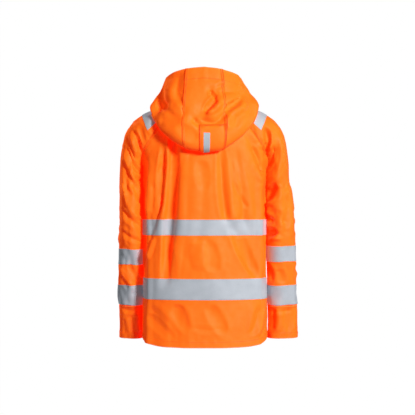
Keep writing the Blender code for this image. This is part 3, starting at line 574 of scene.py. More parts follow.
def sew(cloth, seams):
    """How far the seams raise and pinch a piece's cloth, in metres. Notes in the piece's marked, as
    well, where shade is painted along its stitching and beside the edges that lie under others, and where its
    edges rub."""
    total = np.zeros(cloth.points.shape[:2])
    z = cloth.points[..., 2] * 1000
    for edge, kind, low, high in seams:
        width, height, rows, pucker = SEWN[kind]
        d = cloth.far[edge] * 1000
        along = cloth.far["top" if edge in ("left", "right") else "left"] * 1000
        ripple = noise(np.stack([along / 11, d / 60, 0 * d], -1), 1, len(edge) + len(kind))
        ripple += 0.5 * noise(np.stack([along / 5, d / 40, 0 * d], -1), 1, 7)
        if width:
            height = height * smooth(-d, -width - 0.6, -width + 0.9)
        else:
            height = -1.6 * smooth(-d, -5, -0.5)
        held = smooth(z, low, low + 9) * smooth(-z, -high, 9 - high)
        # painted shade beside an edge that lies under another piece, and in each row of stitches below
        seam_shade_and_wear = smooth(-d, -2.5, -0.5) if kind in ("under", "patch", "over", "lap") else 0 * d
        for row in rows:
            dip = np.exp(-(((d - row) / STITCH_WIDTH) ** 2))
            height = height - STITCH_DEPTH * dip
            faint = 0.4 if kind in ("hem", "rim") else 1
            seam_shade_and_wear = np.maximum(seam_shade_and_wear, dip * (0.75 + 0.35 * ripple) * faint)
        # real wear: the edges that rub go below 0, which makes them paler
        if kind in ("hem", "rim", "edge"):
            seam_shade_and_wear = seam_shade_and_wear - np.exp(-((d / 2.2) ** 2))
        cloth.marked = np.where(np.abs(seam_shade_and_wear * held) > np.abs(cloth.marked), seam_shade_and_wear * held, cloth.marked)
        reach = np.exp(-(((d - (rows[-1] if rows else 2)) / 9) ** 2))
        total += (height + pucker * ripple * reach) * held
    return total / 1000


TUCK_IN, TUCK_UNDER = 0.0035, 0.0018  # how far in from the upper edge, and how far beneath it
TUCK_GAP, TUCK_FADE = 0.012, 0.035  # how far off it an edge may be, and how far in its cloth follows


def tuck(under, edge, over, other, low):
    """Draws the left or right edge of one piece in beneath the edge of the piece that it is sewn
    to, where the two are near each other and above a height in mm."""
    line, normals = over.line(other, TUCK_IN)
    border = under.points[:, 0 if edge == "left" else -1]
    away, _, _ = nearest_on(line - normals * TUCK_UNDER, border)
    near = smooth(-np.linalg.norm(away, axis=-1), -TUCK_GAP - 0.004, -TUCK_GAP)
    near = near * smooth(border[:, 2], low / 1000, low / 1000 + 0.02)
    follows = smooth(-under.far[edge], -TUCK_FADE, 0) * near[:, None]
    under.points = under.points - away[:, None] * follows[..., None]
    under.normals = find_normals(under.points)
    under.measure()


def stitches(name, lines, finish, pitch=3.4, length=2.5, thick=0.62):
    """A joined mesh of one small rounded thread for each stitch along the lines (mm)."""
    sides, rings = 6, ((-0.5, 0.5), (-0.36, 1.0), (0.36, 1.0), (0.5, 0.5))
    centres, frames = [], []
    for points, normals in lines:
        if len(points) < 2:
            continue
        at = run(points) * 1000
        wanted = np.arange(pitch / 2, at[-1], pitch)
        middle, before, after, up = (
            np.array([np.interp(wanted + further, at, values[:, k]) for k in range(3)]).T
            for values, further in ((points, 0), (points, -0.8), (points, 0.8), (normals, 0))
        )
        ahead, up = unit(after - before), unit(up)
        across = unit(np.cross(up, ahead))
        centres.append(middle + up * thick * 0.0001)
        frames.append(np.stack([ahead, across, np.cross(ahead, across)], 1))
    centres, frames = np.concatenate(centres), np.concatenate(frames)
    angles = 2 * math.pi * np.arange(sides) / sides
    local = [
        (x * length, y * thick / 2 * math.cos(a), y * thick * 0.4 * math.sin(a))
        for x, y in rings
        for a in angles
    ]
    vertices = centres[:, None] + np.einsum("ij,njk->nik", np.array(local) / 1000, frames)
    faces = [list(range(sides))[::-1], list(range(len(local) - sides, len(local)))]
    for ring in range(len(rings) - 1):
        for k in range(sides):
            a, b = ring * sides + k, ring * sides + (k + 1) % sides
            faces.append([a, b, b + sides, a + sides])
    count = len(local)
    mesh = bpy.data.meshes.new(name)
    every = [[k + i * count for k in face] for i in range(len(centres)) for face in faces]
    mesh.from_pydata(vertices.reshape(-1, 3), [], every)
    mesh.shade_smooth()
    mesh.materials.append(finish)
    return add_object(name, mesh)


# The creases seen from behind are marked on enlargements of the photo, in units of their own
# across and down. Each piece's row says how many of those a pixel has, the pixel at the
# enlargement's corner, how far behind the wearer's middle the piece is (mm), and how much wider and
# higher its creases are made than they are marked.
ENLARGED = {
    "back": (7.65, (135, 140), 110, 1.1, 1.5),
    "sleeve_left": (6.68, (110, 110), 30, 1.0, 1.35),
    "cuff_left": (6.68, (110, 110), 30, 1.2, 1.5),
    "sleeve_right": (6.68, (255, 110), 30, 1.1, 1.7),
    "cuff_right": (6.68, (255, 110), 30, 1.2, 1.5),
    "hood": (14.25, (155, 60), 160, 1.0, 1.7),
}
PIXEL = 3.25  # one pixel at the wearer's middle (mm)
ORIGIN = np.array([204.5, 104.0])  # the pixel across and down where x and z are 0
SEEN = {
    # first across, down, middle across, down, last across, down, half width, height, lean
    "back": (
        (214, 10, 194, 321, 174, 590, 9, -9.5, -0.3), (186, 400, 165, 560, 118, 760, 5, -7, -0.1),
        (150, 740, 118, 830, 80, 930, 5, 6), (110, 330, 104, 460, 92, 600, 9, 3.5),
        (284, -70, 268, 400, 205, 1225, 11, -9.5, -0.3), (362, -70, 346, 400, 290, 1225, 12, 3.5),
        (420, 120, 420, 500, 380, 900, 19, 4), (652, 0, 677, 400, 706, 660, 9, -6.5),
        (722, 0, 752, 400, 785, 660, 13, 5), (745, 600, 810, 830, 955, 1085, 11, -7, -0.2),
        (780, 120, 830, 420, 900, 660, 15, 3.5), (880, 40, 950, 150, 985, 290, 6, -5.5),
        (740, 300, 800, 440, 880, 520, 6, -3), (985, 330, 940, 250, 900, 150, 7, 3.5),
        (480, 760, 490, 860, 500, 1020, 17, 3), (560, 760, 590, 900, 600, 1020, 13, -3),
        (75, 1360, 170, 1400, 310, 1540, 10, -2.2, 0.2), (120, 1250, 200, 1300, 300, 1400, 9, 1.8),
        (330, 1250, 350, 1350, 420, 1480, 12, -3.5), (560, 1260, 620, 1360, 700, 1500, 12, -3),
        (950, 1260, 930, 1400, 880, 1500, 8, -4.5), (985, 1290, 975, 1400, 935, 1520, 6, 3.5),
        (420, 1430, 560, 1450, 690, 1440, 7, -1.6), (700, 640, 760, 700, 860, 740, 7, -2),
        (500, 150, 520, 260, 530, 400, 12, -2.2),
    ),
    "sleeve_left": (
        (112, 165, 140, 270, 180, 345, 6, -7), (150, 135, 185, 200, 215, 300, 6, -6.5, 0.2),
        (180, 120, 205, 170, 232, 240, 5, 4), (100, 230, 150, 340, 225, 440, 6, -8, 0.3),
        (86, 330, 125, 440, 222, 560, 7, -7, 0.3), (78, 470, 105, 560, 135, 680, 5, 7),
        (100, 430, 120, 520, 160, 590, 5, -5), (150, 395, 185, 450, 226, 480, 5, -5.5),
        (160, 500, 195, 580, 222, 640, 6, -6), (75, 640, 130, 720, 215, 775, 6, -6.5, 0.2),
        (130, 640, 170, 700, 222, 720, 6, 4.5), (70, 790, 135, 850, 218, 880, 6, -5),
        (68, 945, 110, 1020, 218, 1150, 8, -6, 0.3), (64, 1040, 105, 1130, 190, 1220, 6, 5.5),
        (66, 1165, 100, 1245, 130, 1300, 7, -4, 0.2), (140, 1180, 120, 1230, 100, 1290, 7, 5),
        (165, 1060, 190, 1110, 220, 1140, 5, 4), (215, 1180, 170, 1215, 130, 1240, 5, -4.5),
        (120, 130, 100, 190, 85, 270, 8, 4),
    ),
    "cuff_left": (
        (70, 1330, 130, 1345, 212, 1335, 5, -3.5), (130, 1370, 150, 1430, 150, 1500, 8, -4),
        (190, 1360, 180, 1430, 195, 1500, 7, 3.5), (80, 1390, 90, 1450, 84, 1510, 7, -2.5),
    ),
    "sleeve_right": (
        (70, 210, 75, 300, 66, 400, 6, -7), (125, 230, 110, 320, 78, 390, 6, -7),
        (155, 215, 165, 330, 140, 440, 6, 5), (40, 590, 90, 572, 160, 475, 10, -13),
        (150, 480, 120, 560, 75, 650, 6, 5.5), (75, 640, 95, 690, 100, 760, 6, 4),
        (35, 805, 88, 822, 150, 800, 10, -14), (40, 690, 82, 712, 120, 750, 6, -9),
        (130, 600, 155, 560, 175, 510, 5, -4.5), (90, 860, 130, 850, 180, 870, 6, 4),
        (95, 120, 110, 200, 100, 280, 8, 4.5), (60, 110, 85, 190, 80, 260, 6, -6, 0.2),
        (150, 130, 195, 300, 215, 450, 9, 3.5), (200, 320, 215, 450, 195, 560, 8, -4.5),
        (215, 560, 222, 680, 205, 790, 9, -4), (150, 660, 175, 720, 205, 760, 7, -3.5),
        (240, 640, 246, 760, 240, 870, 8, 3.5), (85, 1030, 108, 1090, 118, 1150, 6, -6),
        (150, 1060, 170, 1110, 180, 1160, 9, -3.5), (215, 900, 225, 960, 205, 1010, 8, -3),
        (130, 1180, 150, 1230, 140, 1290, 9, -2.5),
    ),
    "cuff_right": (
        (115, 1320, 118, 1400, 110, 1500, 8, -5.5), (215, 1310, 235, 1400, 225, 1490, 9, -3.5),
        (160, 1330, 165, 1400, 160, 1500, 8, 3), (120, 1345, 190, 1350, 270, 1340, 4, -2),
    ),
    "hood": (
        (792, 405, 822, 482, 884, 534, 4.5, -9), (881, 532, 790, 620, 700, 750, 9, -8.5, -0.3),
        (850, 400, 1040, 350, 1246, 440, 7, -3.5), (1235, 540, 1100, 630, 985, 740, 9, -7.5, -0.4),
        (1330, 575, 1200, 670, 1085, 800, 12, 4), (979, 725, 860, 880, 600, 830, 8, -7),
        (944, 580, 855, 687, 712, 767, 9, 5), (552, 812, 590, 890, 677, 918, 6, -4.5),
        (294, 296, 235, 500, 418, 776, 13, 6, 0.3), (0, 655, 110, 640, 230, 560, 8, -3),
        (150, 330, 135, 600, 330, 900, 24, -3), (30, 860, 180, 880, 400, 780, 13, -3),
        (1100, 760, 1060, 880, 1010, 1000, 12, 3.5), (1000, 690, 990, 860, 985, 1010, 7, -2.5),
        (1250, 690, 1180, 820, 1060, 960, 12, -3.5), (320, 900, 480, 1060, 640, 1080, 13, -2.5),
        (641, 921, 810, 916, 975, 908, 4.5, -3.2),
    ),
}
# Those that only show from the other sides are in mm, as side_of gives them.
UNSEEN = {
    # first across, up, middle across, up, last across, up, half width, height, lean
    ("front", "front"): (
        (180, -150, 160, -235, 118, -330, 10, -10, 0.2), (150, -118, 150, -200, 172, -290, 9, 6),
        (92, -160, 98, -330, 122, -590, 15, -13, -0.3), (142, -300, 150, -430, 160, -570, 12, 6.5),
        (58, -140, 54, -260, 66, -400, 12, -5), (188, -320, 180, -420, 148, -530, 9, -9),
        (172, -560, 160, -640, 128, -725, 11, -6.5, 0.2), (88, -600, 94, -680, 110, -738, 12, 4.5),
        (58, -540, 66, -650, 60, -738, 12, -5), (120, -205, 138, -250, 176, -262, 7, -4.5),
        (-174, -145, -150, -240, -100, -315, 10, -9, 0.2), (-188, -190, -170, -290, -126, -405, 9, -9),
        (-78, -180, -92, -340, -124, -565, 15, -12, -0.3), (-130, -330, -146, -450, -162, -610, 12, 6.5),
        (-50, -230, -58, -370, -48, -480, 11, -5), (-186, -430, -166, -500, -138, -595, 9, -8),
        (-58, -570, -72, -650, -64, -738, 12, -5.5), (-152, -620, -138, -680, -116, -740, 10, -6),
        (-98, -590, -104, -680, -96, -738, 12, 4.5), (-70, -120, -96, -160, -120, -230, 9, 4.5),
    ),
    ("sleeve_left", "front"): (
        (250, -100, 226, -175, 200, -262, 8, -10), (266, -150, 240, -230, 206, -318, 8, -9, 0.2),
        (272, -236, 246, -292, 206, -345, 8, -10), (268, -310, 240, -345, 206, -362, 7, -11),
        (276, -350, 240, -385, 206, -392, 7, 7), (272, -410, 240, -455, 208, -520, 9, -8, 0.2),
        (272, -500, 246, -550, 214, -615, 9, -7), (222, -560, 240, -612, 264, -652, 8, 6),
    ),
    ("sleeve_right", "front"): (
        (-244, -96, -226, -170, -204, -250, 8, -9), (-266, -160, -238, -240, -208, -300, 8, -9, 0.2),
        (-286, -250, -250, -310, -208, -336, 8, -9), (-282, -340, -244, -352, -208, -374, 7, -11),
        (-288, -390, -250, -404, -210, -436, 8, 6.5), (-290, -450, -256, -480, -214, -520, 9, -7),
        (-286, -540, -262, -580, -226, -640, 9, -7), (-232, -540, -246, -600, -276, -650, 8, 5),
    ),
    ("sleeve_left", "left"): (
        (-16, -100, -34, -165, -64, -240, 10, -8), (18, -140, -10, -222, -54, -300, 9, -8, 0.2),
        (-96, -250, -60, -330, -4, -372, 11, -6), (-90, -330, -45, -372, 12, -388, 10, -6),
        (-96, -396, -50, -430, 14, -442, 9, 6), (-16, -462, -45, -540, -86, -615, 11, -8),
        (8, -520, -20, -592, -64, -652, 10, 6),
    ),
    ("sleeve_right", "right"): (
        (-20, -100, -42, -160, -80, -220, 10, -7), (12, -170, -24, -240, -80, -290, 9, -8, 0.2),
        (-92, -290, -50, -345, 10, -360, 11, -5.5), (-98, -372, -50, -400, 12, -396, 10, -5),
        (-86, -440, -44, -500, -10, -580, 11, -7), (10, -450, -12, -520, -60, -570, 9, 5.5),
        (-96, -560, -60, -610, -14, -650, 10, -6.5),
    ),
    ("cuff_left", "front"): ((226, -668, 232, -710, 226, -758, 8, -4.5),),
    ("cuff_left", "left"): ((-50, -668, -56, -710, -48, -758, 10, -5),),
    ("cuff_right", "front"): ((-246, -668, -240, -715, -248, -758, 9, -5),),
    ("cuff_right", "right"): ((-72, -668, -64, -712, -74, -758, 10, -5),),
    ("back", "left"): (
        (40, -250, 44, -400, 26, -570, 13, -8), (20, -600, 30, -670, 44, -745, 11, -5),
    ),
    ("front", "left"): ((-34, -250, -30, -420, -46, -600, 13, -8),),
    ("back", "right"): ((46, -270, 38, -420, 48, -600, 13, -8),),
    ("front", "right"): (
        (-40, -280, -46, -430, -34, -590, 13, -8), (-60, -600, -50, -670, -58, -745, 11, -5),
    ),
    ("hood", "front"): (
        (120, 10, 96, -22, 60, -34, 9, -5), (-116, 6, -92, -20, -58, -36, 9, -5),
    ),
    ("hood", "left"): (
        (26, 52, 66, 14, 128, -20, 16, -2.5, 0.2), (-30, 18, 26, -10, 84, -40, 14, -3),
    ),
    ("hood", "right"): (
        (20, 56, 66, 28, 124, 4, 15, -4, 0.2), (-26, 6, 26, -20, 84, -34, 13, -4),
        (-40, 84, 60, 90, 150, 84, 22, -8),
    ),
}


def crease_seen(piece, row):
    """A crease marked on the piece's enlargement, in mm."""
    scale, corner, behind, wider, higher = ENLARGED[piece]
    pixels = np.array(row[:6]).reshape(3, 2) / scale + corner
    eye = EYE[[0, 2]]
    places = eye + ((ORIGIN - pixels) * PIXEL - eye) * (EYE[1] - behind) / EYE[1]
    half, height, *lean = row[6:]
    return *places.round().flat, round(half * wider, 1), round(height * higher, 1), *lean


CREASES = {(piece, "back"): [crease_seen(piece, row) for row in rows] for piece, rows in SEEN.items()}
CREASES.update(UNSEEN)


# ---- Finishes -------------------------------------------------------------------------------
PAINTED_RED_GLOW = (1.0, 0.012, 0.0)  # a painted red glow, which stands in for the fluorescent dye's light and keeps the cloth red in its shade


class Finish:
    """A new material, with its shader's sockets set to plain values. Its glow is sampled as a light's
    if it is a lamp. Its methods add a node and give back that node's output, apart from into, which
    links one to the shader. A node's inputs are named, or numbered as i0, i1 and so on."""

    def __init__(self, name, colour, roughness, glow=PAINTED_RED_GLOW, strength=0.0, lamp=False, **sockets):
        self.material = bpy.data.materials.new(name)
        self.material.use_nodes = True
        self.tree = self.material.node_tree
        self.shader = self.tree.nodes["Principled BSDF"]
        sockets |= dict(Base_Color=(*colour, 1), Roughness=roughness)
        sockets |= dict(Emission_Color=(*glow, 1), Emission_Strength=strength)
        for socket, value in sockets.items():
            self.shader.inputs[socket.replace("_", " ")].default_value = value
        if not lamp:
            self.material.cycles.emission_sampling = "NONE"

    def add(self, kind, output=0, settings=(), **inputs):
        node = self.tree.nodes.new("ShaderNode" + kind)
        for key, value in dict(settings).items():
            setattr(node, key, value)
        for key, value in inputs.items():
            numbered = key[0] == "i" and key[1:].isdigit()
            socket = node.inputs[int(key[1:]) if numbered else key.replace("_", " ")]
            if isinstance(value, bpy.types.NodeSocket):
                self.tree.links.new(value, socket)
            else:
                socket.default_value = value
        return node.outputs[output]

    def noise(self, at, scale, detail=2.0, roughness=0.5):
        return self.add("TexNoise", 0, Vector=at, Scale=scale, Detail=detail, Roughness=roughness)

    def spread(self, value, low, high, to_low, to_high):
        return self.add("MapRange", 0, i0=value, i1=low, i2=high, i3=to_low, i4=to_high)

    def sum(self, a, b, share):
        """a + b * share"""
        return self.add("Math", 0, {"operation": "MULTIPLY_ADD"}, i0=b, i1=share, i2=a)

    def mix(self, factor, a, b):
        """A colour from a to b, where a may be another node's output."""
        first = a if isinstance(a, bpy.types.NodeSocket) else (*a, 1)
        return self.add("Mix", 2, {"data_type": "RGBA"}, i0=factor, i6=first, i7=(*b, 1))

    def times(self, a, b):
        return self.add("Math", 0, {"operation": "MULTIPLY"}, i0=a, i1=b)

    def bump(self, height, distance, strength=1.0, normal=None):
        more = {"Normal": normal} if normal else {}
        return self.add("Bump", 0, Height=height, Distance=distance, Strength=strength, **more)

    def into(self, socket, value):
        self.tree.links.new(value, self.shader.inputs[socket])


def cloth_finish(name, colour, deep, roughness):
    """Coated woven cloth: faint threads under a film that has fine wrinkles and uneven gloss, paler
    where its edges rub, with shade painted along its stitching and a painted red glow in its shade."""
    thread_gap, rubbed_colour, painted_seam_shade_colour = 0.0011, (1.0, 0.46, 0.16), (0.42, 0.03, 0.002)
    sheen = dict(Sheen_Weight=0.04, Sheen_Roughness=0.4)
    # strength 0.43 of the painted red glow keeps the cloth's shaded folds red
    n = Finish(name, colour, roughness, strength=0.43, Specular_IOR_Level=0.25, **sheen)
    flat = n.add("UVMap", 0, {"uv_map": "cloth"})
    solid = n.add("TexCoord", 3)
    large, small = n.noise(solid, 7.0, 3.0), n.noise(solid, 60.0, 3.0, 0.6)
    tone = n.sum(large, small, 0.45)
    marked = n.add("Attribute", 2, {"attribute_name": "marked"})
    rubbed = n.times(n.spread(marked, -1.0, 0.0, 0.8, 0.0), small)
    shade = n.mix(n.spread(tone, 0.45, 1.0, 0.0, 1.0), colour, deep)
    shade = n.mix(rubbed, shade, rubbed_colour)
    # painted seam shade: darker red where marked is above 0
    n.into("Base Color", n.mix(n.spread(marked, 0.0, 1.0, 0.0, 0.85), shade, painted_seam_shade_colour))
    n.into("Roughness", n.sum(n.spread(small, 0.3, 0.7, roughness - 0.06, roughness + 0.08), rubbed, 0.15))
    turns = math.tau / thread_gap / 20  # a wave texture runs 20 radians a unit
    threads = [
        n.add("TexWave", 1, {"bands_direction": way}, Vector=flat, Scale=turns, Distortion=0.0)
        for way in "XY"
    ]
    weave = n.times(*threads)
    film = n.bump(n.sum(n.noise(flat, 55.0, 4.0, 0.55), n.noise(flat, 260.0, 2.0), 0.25), 0.0011, 0.55)
    n.into("Normal", n.bump(weave, 0.00012, 0.5, film))
    return n.material


def tape_finish():
    """Reflective tape: a silver film of fine glass beads, a little crazed and uneven in tone."""
    silver, darker, paler = (0.52, 0.56, 0.61), (0.485, 0.52, 0.57), (0.56, 0.595, 0.65)
    # the pale blue glow of strength 0.08 is painted light that keeps the tape pale in its shade
    n = Finish("reflective_tape", silver, 0.5, (0.55, 0.60, 0.68), 0.08, Specular_IOR_Level=0.3)
    flat = n.add("UVMap", 0, {"uv_map": "cloth"})
    wide, fine = n.noise(flat, 40.0, 3.0), n.noise(flat, 900.0, 2.0)
    beads = n.add("TexVoronoi", 0, Vector=flat, Scale=1400.0)
    crazing = n.add("TexVoronoi", 0, {"feature": "DISTANCE_TO_EDGE"}, Vector=flat, Scale=170.0)
    lines = n.spread(crazing, 0.0, 0.05, 1.0, 0.0)
    tone = n.sum(n.sum(wide, fine, 0.5), lines, -0.25)
    n.into("Base Color", n.mix(n.spread(tone, 0.35, 1.05, 0.0, 1.0), darker, paler))
    n.into("Roughness", n.spread(wide, 0.3, 0.7, 0.45, 0.58))
    n.into("Normal", n.bump(n.sum(beads, crazing, 0.8), 0.00010, 0.5, n.bump(wide, 0.0010, 0.35)))
    return n.material


def stud_look():
    """Moulded snap studs in the cloth's colour, scuffed a little by handling."""
    colour, scuffed = (0.95, 0.13, 0.01), (0.98, 0.22, 0.05)
    # strength 0.25 of the painted red glow keeps the studs red in their shade
    n = Finish("stud", colour, 0.35, strength=0.25, lamp=True, Specular_IOR_Level=0.4)
    solid = n.add("TexCoord", 3)
    scuffs = n.noise(solid, 700.0, 4.0, 0.7)
    n.into("Base Color", n.mix(n.spread(scuffs, 0.5, 0.75, 0.0, 1.0), colour, scuffed))
    n.into("Roughness", n.spread(scuffs, 0.3, 0.7, 0.28, 0.48))
    n.into("Normal", n.bump(scuffs, 0.00006, 0.4))
    return n.material


def thread_finish(name, colour, glow):
    """Sewing thread of fine fibres."""
    n = Finish(name, colour, 0.6, strength=glow, Specular_IOR_Level=0.3)
    fibres = n.noise(n.add("TexCoord", 3), 2500.0, 2.0)
    darker = tuple(0.75 * c for c in colour)
    n.into("Base Color", n.mix(fibres, colour, darker))
    n.into("Normal", n.bump(fibres, 0.00005, 0.5))
    return n.material


orange = cloth_finish("orange_cloth", (1.0, 0.26, 0.010), (1.0, 0.215, 0.006), 0.58)
tape, stud_finish = tape_finish(), stud_look()
# the orange thread's glow of 0.4 is a painted red glow that keeps it red in shade
orange_thread = thread_finish("orange_thread", (1.0, 0.15, 0.006), 0.4)
grey_thread = thread_finish("grey_thread", (0.40, 0.42, 0.45), 0.0)

# ---- Pieces ---------------------------------------------------------------------------------
# How the rows of each wall are found, and of each piece that is laid on one. Rows run down, or up the
# hood and the collar.
HOOD = dict(down=UP, tall=True, hem=RIM / 1000)
WALLS = {
    "back": dict(facing=BACK, hem=HEM / 1000),
    "front_left": dict(facing=FRONT, hem=HEM / 1000),
    "front_right": dict(facing=FRONT, hem=HEM / 1000),
    "sleeve_left": {},
    "sleeve_right": {},
    "cuff_left": dict(hem=HEM / 1000),
    "cuff_right": dict(hem=HEM / 1000),
    "collar": dict(down=UP),
    "storm_flap": dict(facing=FRONT),
    "hood_middle": HOOD,
    "hood_left": HOOD,
    "hood_right": HOOD,
}
LAID = {
    "hood_tab": ("hood_middle", dict(down=UP)),
    "tape_back_upper": ("back", dict(facing=BACK)),
    "tape_back_lower": ("back", dict(facing=BACK)),
    "tape_flap_upper": ("storm_flap", dict(facing=FRONT)),
    "tape_flap_lower": ("storm_flap", dict(facing=FRONT)),
}
for side in ("left", "right"):
    for level in ("upper", "lower"):
        LAID[f"tape_front_{side}_{level}"] = ("front_" + side, dict(facing=FRONT))
        LAID[f"tape_sleeve_{side}_{level}"] = ("sleeve_" + side, {})
    LAID["tape_shoulder_" + side] = ("sleeve_" + side, dict(facing=UP))


def edges(kind, *names, low=-900, high=200):
    """Edges that are sewn in one way, all along or between two heights (mm). Left and right are those
    of someone who follows the rows on the piece's outside."""
    return [(name, kind, low, high) for name in names]


ARMPIT = -215  # where the raglan seams end, and the side and sleeve seams begin (mm)
SEAMS = {
    "back": edges("under", "left", "right") + edges("hem", "bottom") + edges("under", "top"),
    "front_left": edges("under", "left") + edges("hem", "bottom") + edges("edge", "right"),
    "front_right": edges("under", "right") + edges("hem", "bottom") + edges("edge", "left"),
    "collar": edges("edge", "bottom"),
    "storm_flap": edges("edge", "left", "right", "top", "bottom"),
    "hood_middle": edges("lap", "left", "right") + edges("rim", "bottom"),
    "hood_tab": edges("patch", "left", "right", "bottom"),
}
for side in ("left", "right"):
    SEAMS["sleeve_" + side] = edges("over", "left", "right", low=ARMPIT) + edges("under", "bottom")
    SEAMS["cuff_" + side] = edges("edge", "top") + edges("hem", "bottom")
    SEAMS["hood_" + side] = edges("under", "left", "right") + edges("rim", "bottom")
TUCKS = (
    # the piece beneath, its edge, the piece above, its edge, down to which height (mm)
    ("hood_left", "right", "hood_middle", "left", -900),
    ("hood_right", "left", "hood_middle", "right", -900),
    ("back", "right", "sleeve_left", "left", ARMPIT),
    ("back", "left", "sleeve_right", "right", ARMPIT),
    ("front_left", "left", "sleeve_left", "right", ARMPIT),
    ("front_right", "right", "sleeve_right", "left", ARMPIT),
)
TAPE_ROW = 1.9  # how far in from a tape's edges it is sewn down (mm)
TAPE_LIFT, TAB_LIFT, BAR_LIFT = 0.0010, 0.0024, 0.0006  # how high each stands on what it lies on
STRIP_FLARE = 0.012  # how much further the shoulder strips' inner corners reach, front and back
BAR_ROWS, BAR_COLUMNS = np.array([0.0006, 0.101]), np.array([0.011, 0.029])  # where on the tab the bar is
TAPE_SHORT, SEAM_SHORT = 0.0025, 0.0020  # how far from the next edges the rows of stitches end
THICK = {"collar": 0.0022, "tape": 0.0009, "tab_bar": 0.0005}
FINE_INSIDE = ("back", "sleeve_left", "sleeve_right")  # these have deep creases, inside as well
STUDS = 6

# How each piece of cloth is held, and what by.
HELD = {
    "back": ("hung", ("sleeve_left", "sleeve_right", "collar")),
    "front_left": ("hung", ("sleeve_left", "collar")),
    "front_right": ("hung", ("sleeve_right", "collar")),
    "sleeve_left": ("hung", ("collar",)),
    "sleeve_right": ("hung", ("collar",)),
    "cuff_left": ("hung", ("sleeve_left",)),
    "cuff_right": ("hung", ("sleeve_right",)),
    "collar": ("draped", ()),
    "storm_flap": ("hung", ("front_left", "front_right")),
    "hood_middle": ("draped", ("hood_left", "hood_right")),
    "hood_left": ("draped", ("collar", "sleeve_left")),
    "hood_right": ("draped", ("collar", "sleeve_right")),
}

cloths, pieces, sewn, spans, flats = {}, {}, {}, {}, {}


def shape_wall(node, facts):
    """Draws one wall, fills it out, creases it and sews its edges."""
    cloth = cloths[node] = Cloth(node, **facts)
    cloth.push(swell(cloth))
    flats[node] = cloth.flat_size()
    height = crease(cloth, {node, node.split("_")[0]}) + crumple(cloth)
    for laid, (below, facts) in LAID.items():
        if below == node:
            spans[laid] = cloth.span(laid, **{"down": DOWN, **facts})
            height = cloth.ease(height, *spans[laid])
    cloth.push(height + sew(cloth, SEAMS[node]))


def lay(node, below):
    """Cuts a tape or the hood's tab out of the cloth that it lies on."""
    if node != "hood_tab":
        flare = STRIP_FLARE if "shoulder" in node else 0
        cloths[node] = cloths[below].cut(node, TAPE_LIFT, *spans[node], flare)
        return
    tab = cloths[node] = cloths[below].cut(node, TAB_LIFT, *spans[node])
    tab.push(sew(tab, SEAMS[node]))


def add_piece(name, piece):
    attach(piece, "root")
    pieces[name] = piece


def close(node, cloth):
    """Makes a cloth into a piece of the scene and notes the lines that its threads run along."""
    is_tape = node.startswith("tape_") or node == "tab_bar"
    thickness = THICK.get(node) or THICK.get(node.split("_")[0], WALL)
    coarse = 1 if node in FINE_INSIDE else 2
    piece = shell(node + "_cloth", cloth, thickness, tape if is_tape else orange, coarse)
    if node != "tab_bar":
        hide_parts(node)
    add_piece(node, piece)
    if node.startswith("tape_"):
        sides = ("top", "bottom", "left", "right") if "shoulder" in node else ("top", "bottom")
        lines = [cloth.line(side, TAPE_ROW / 1000, short=TAPE_SHORT) for side in sides]
        sewn.setdefault(LAID[node][0] + "_tape_stitches", []).extend(lines)
    for edge, kind, low, high in SEAMS.get(node, ()):
        for row in SEWN[kind][2]:
            line = cloth.line(edge, row / 1000, low / 1000, high / 1000, SEAM_SHORT)
            sewn.setdefault(node + "_stitches", []).append(line)


for node, facts in WALLS.items():
    shape_wall(node, facts)
for under, edge, over, other, low in TUCKS:
    tuck(cloths[under], edge, cloths[over], other, low)
for node, (below, facts) in LAID.items():
    lay(node, below)
tab = cloths["hood_tab"]
bar_place = tab.rows_at[0] + BAR_ROWS, tab.columns_at[0] + BAR_COLUMNS
cloths["tab_bar"] = tab.cut("tab_bar", BAR_LIFT, *bar_place)
for node, cloth in cloths.items():
    close(node, cloth)
for name, lines in sewn.items():
    is_tape = name.endswith("_tape_stitches")
    add_piece(name, stitches(name, lines, grey_thread if is_tape else orange_thread))
for node, (held, by) in HELD.items():
    own = [laid for laid, (below, _) in LAID.items() if below == node]
    own += [f"{name}_{kind}" for name in [node, *own] for kind in ("stitches", "tape_stitches")]
    own += ["tab_bar"] if node == "hood_middle" else []
for i in range(1, STUDS + 1):
    frame["nodes"][f"stud_{i}"].material_slots[0].material = stud_finish

# ---- Camera, light and floor ----------------------------------------------------------------
camera = add_object("camera", bpy.data.cameras.new("camera"))
camera.location = EYE / 1000
camera.rotation_euler = (math.radians(90), 0, math.radians(180))
camera.data.lens = 106.7
camera.data.sensor_width = 36
camera.data.clip_end = 60
scene.camera = camera


def area_light(name, place, size, power, glossy=True, target=(0, 0, -0.35)):
    """A round lamp that faces the jacket's middle."""
    light = bpy.data.lights.new(name, "AREA")
    light.shape = "DISK"
    light.size = size
    light.energy = power
    lamp = add_object(name, light)
    lamp.location = place
    lamp.rotation_euler = (Vector(target) - Vector(place)).to_track_quat("-Z", "Y").to_euler()
    lamp.visible_glossy = glossy


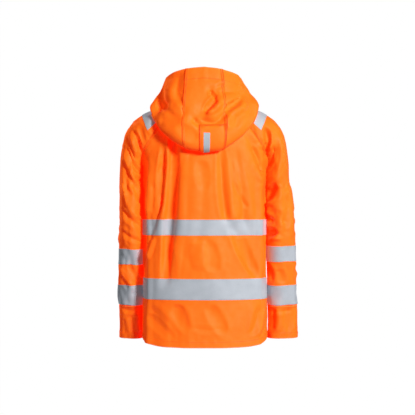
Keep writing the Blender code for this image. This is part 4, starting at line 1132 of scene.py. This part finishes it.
area_light("key", (-2.0, 3.3, 0.85), 0.8, 155)
area_light("side", (-3.9, 0.7, 0.6), 0.8, 7)
area_light("rim", (3.9, 0.3, 0.5), 2.0, 18, glossy=False)
area_light("fill", (2.6, 3.0, 0.1), 2.0, 3)
area_light("front_key", (2.4, -3.0, 1.6), 0.8, 150, glossy=False)
area_light("front_fill", (-3.4, -1.6, 0.4), 1.6, 30, glossy=False, target=(0, 0, -0.4))

world = bpy.data.worlds.new("world")
scene.world = world
world.use_nodes = True
background = world.node_tree.nodes["Background"]
background.inputs["Color"].default_value = (1, 1, 1, 1)
background.inputs["Strength"].default_value = 0.03

WHITE, BLACK, FLOOR_TONE, FLOOR_GLOW = (1, 1, 1), (0, 0, 0), (0.6, 0.6, 0.6), 0.35
FLOOR_RADIUS, FLOOR_LEVEL, BACKDROP_RADIUS = 1.5, -1.45, 20


def stage_piece(look, build):
    """A mesh of the stage, which build makes."""
    name = look.material.name
    mesh = bpy.data.meshes.new(name)
    bm = bmesh.new()
    build(bm)
    bm.to_mesh(mesh)
    bm.free()
    mesh.materials.append(look.material)
    piece = add_object(name, mesh)
    return piece


fade = Finish("floor", FLOOR_TONE, 0.9, WHITE, FLOOR_GLOW, lamp=True)  # white towards its edge
away = fade.add("VectorMath", 1, {"operation": "LENGTH"}, i0=fade.add("TexCoord", 3))
fade.into("Base Color", fade.mix(fade.spread(away, 0.6, 1.45, 0.0, 1.0), FLOOR_TONE, BLACK))
fade.into("Emission Strength", fade.spread(away, 0.6, 1.45, FLOOR_GLOW, 1.0))
floor = stage_piece(
    fade, lambda bm: bmesh.ops.create_circle(bm, cap_ends=True, radius=FLOOR_RADIUS, segments=128)
)
floor.location.z = FLOOR_LEVEL
backdrop = stage_piece(
    Finish("backdrop", BLACK, 0.9, WHITE, 1.0, lamp=True),
    lambda bm: bmesh.ops.create_icosphere(bm, subdivisions=4, radius=BACKDROP_RADIUS),
)
for ray in ("diffuse", "glossy", "transmission", "shadow"):
    setattr(backdrop, "visible_" + ray, False)
floor.visible_diffuse = False
scene.view_settings.view_transform = "Standard"
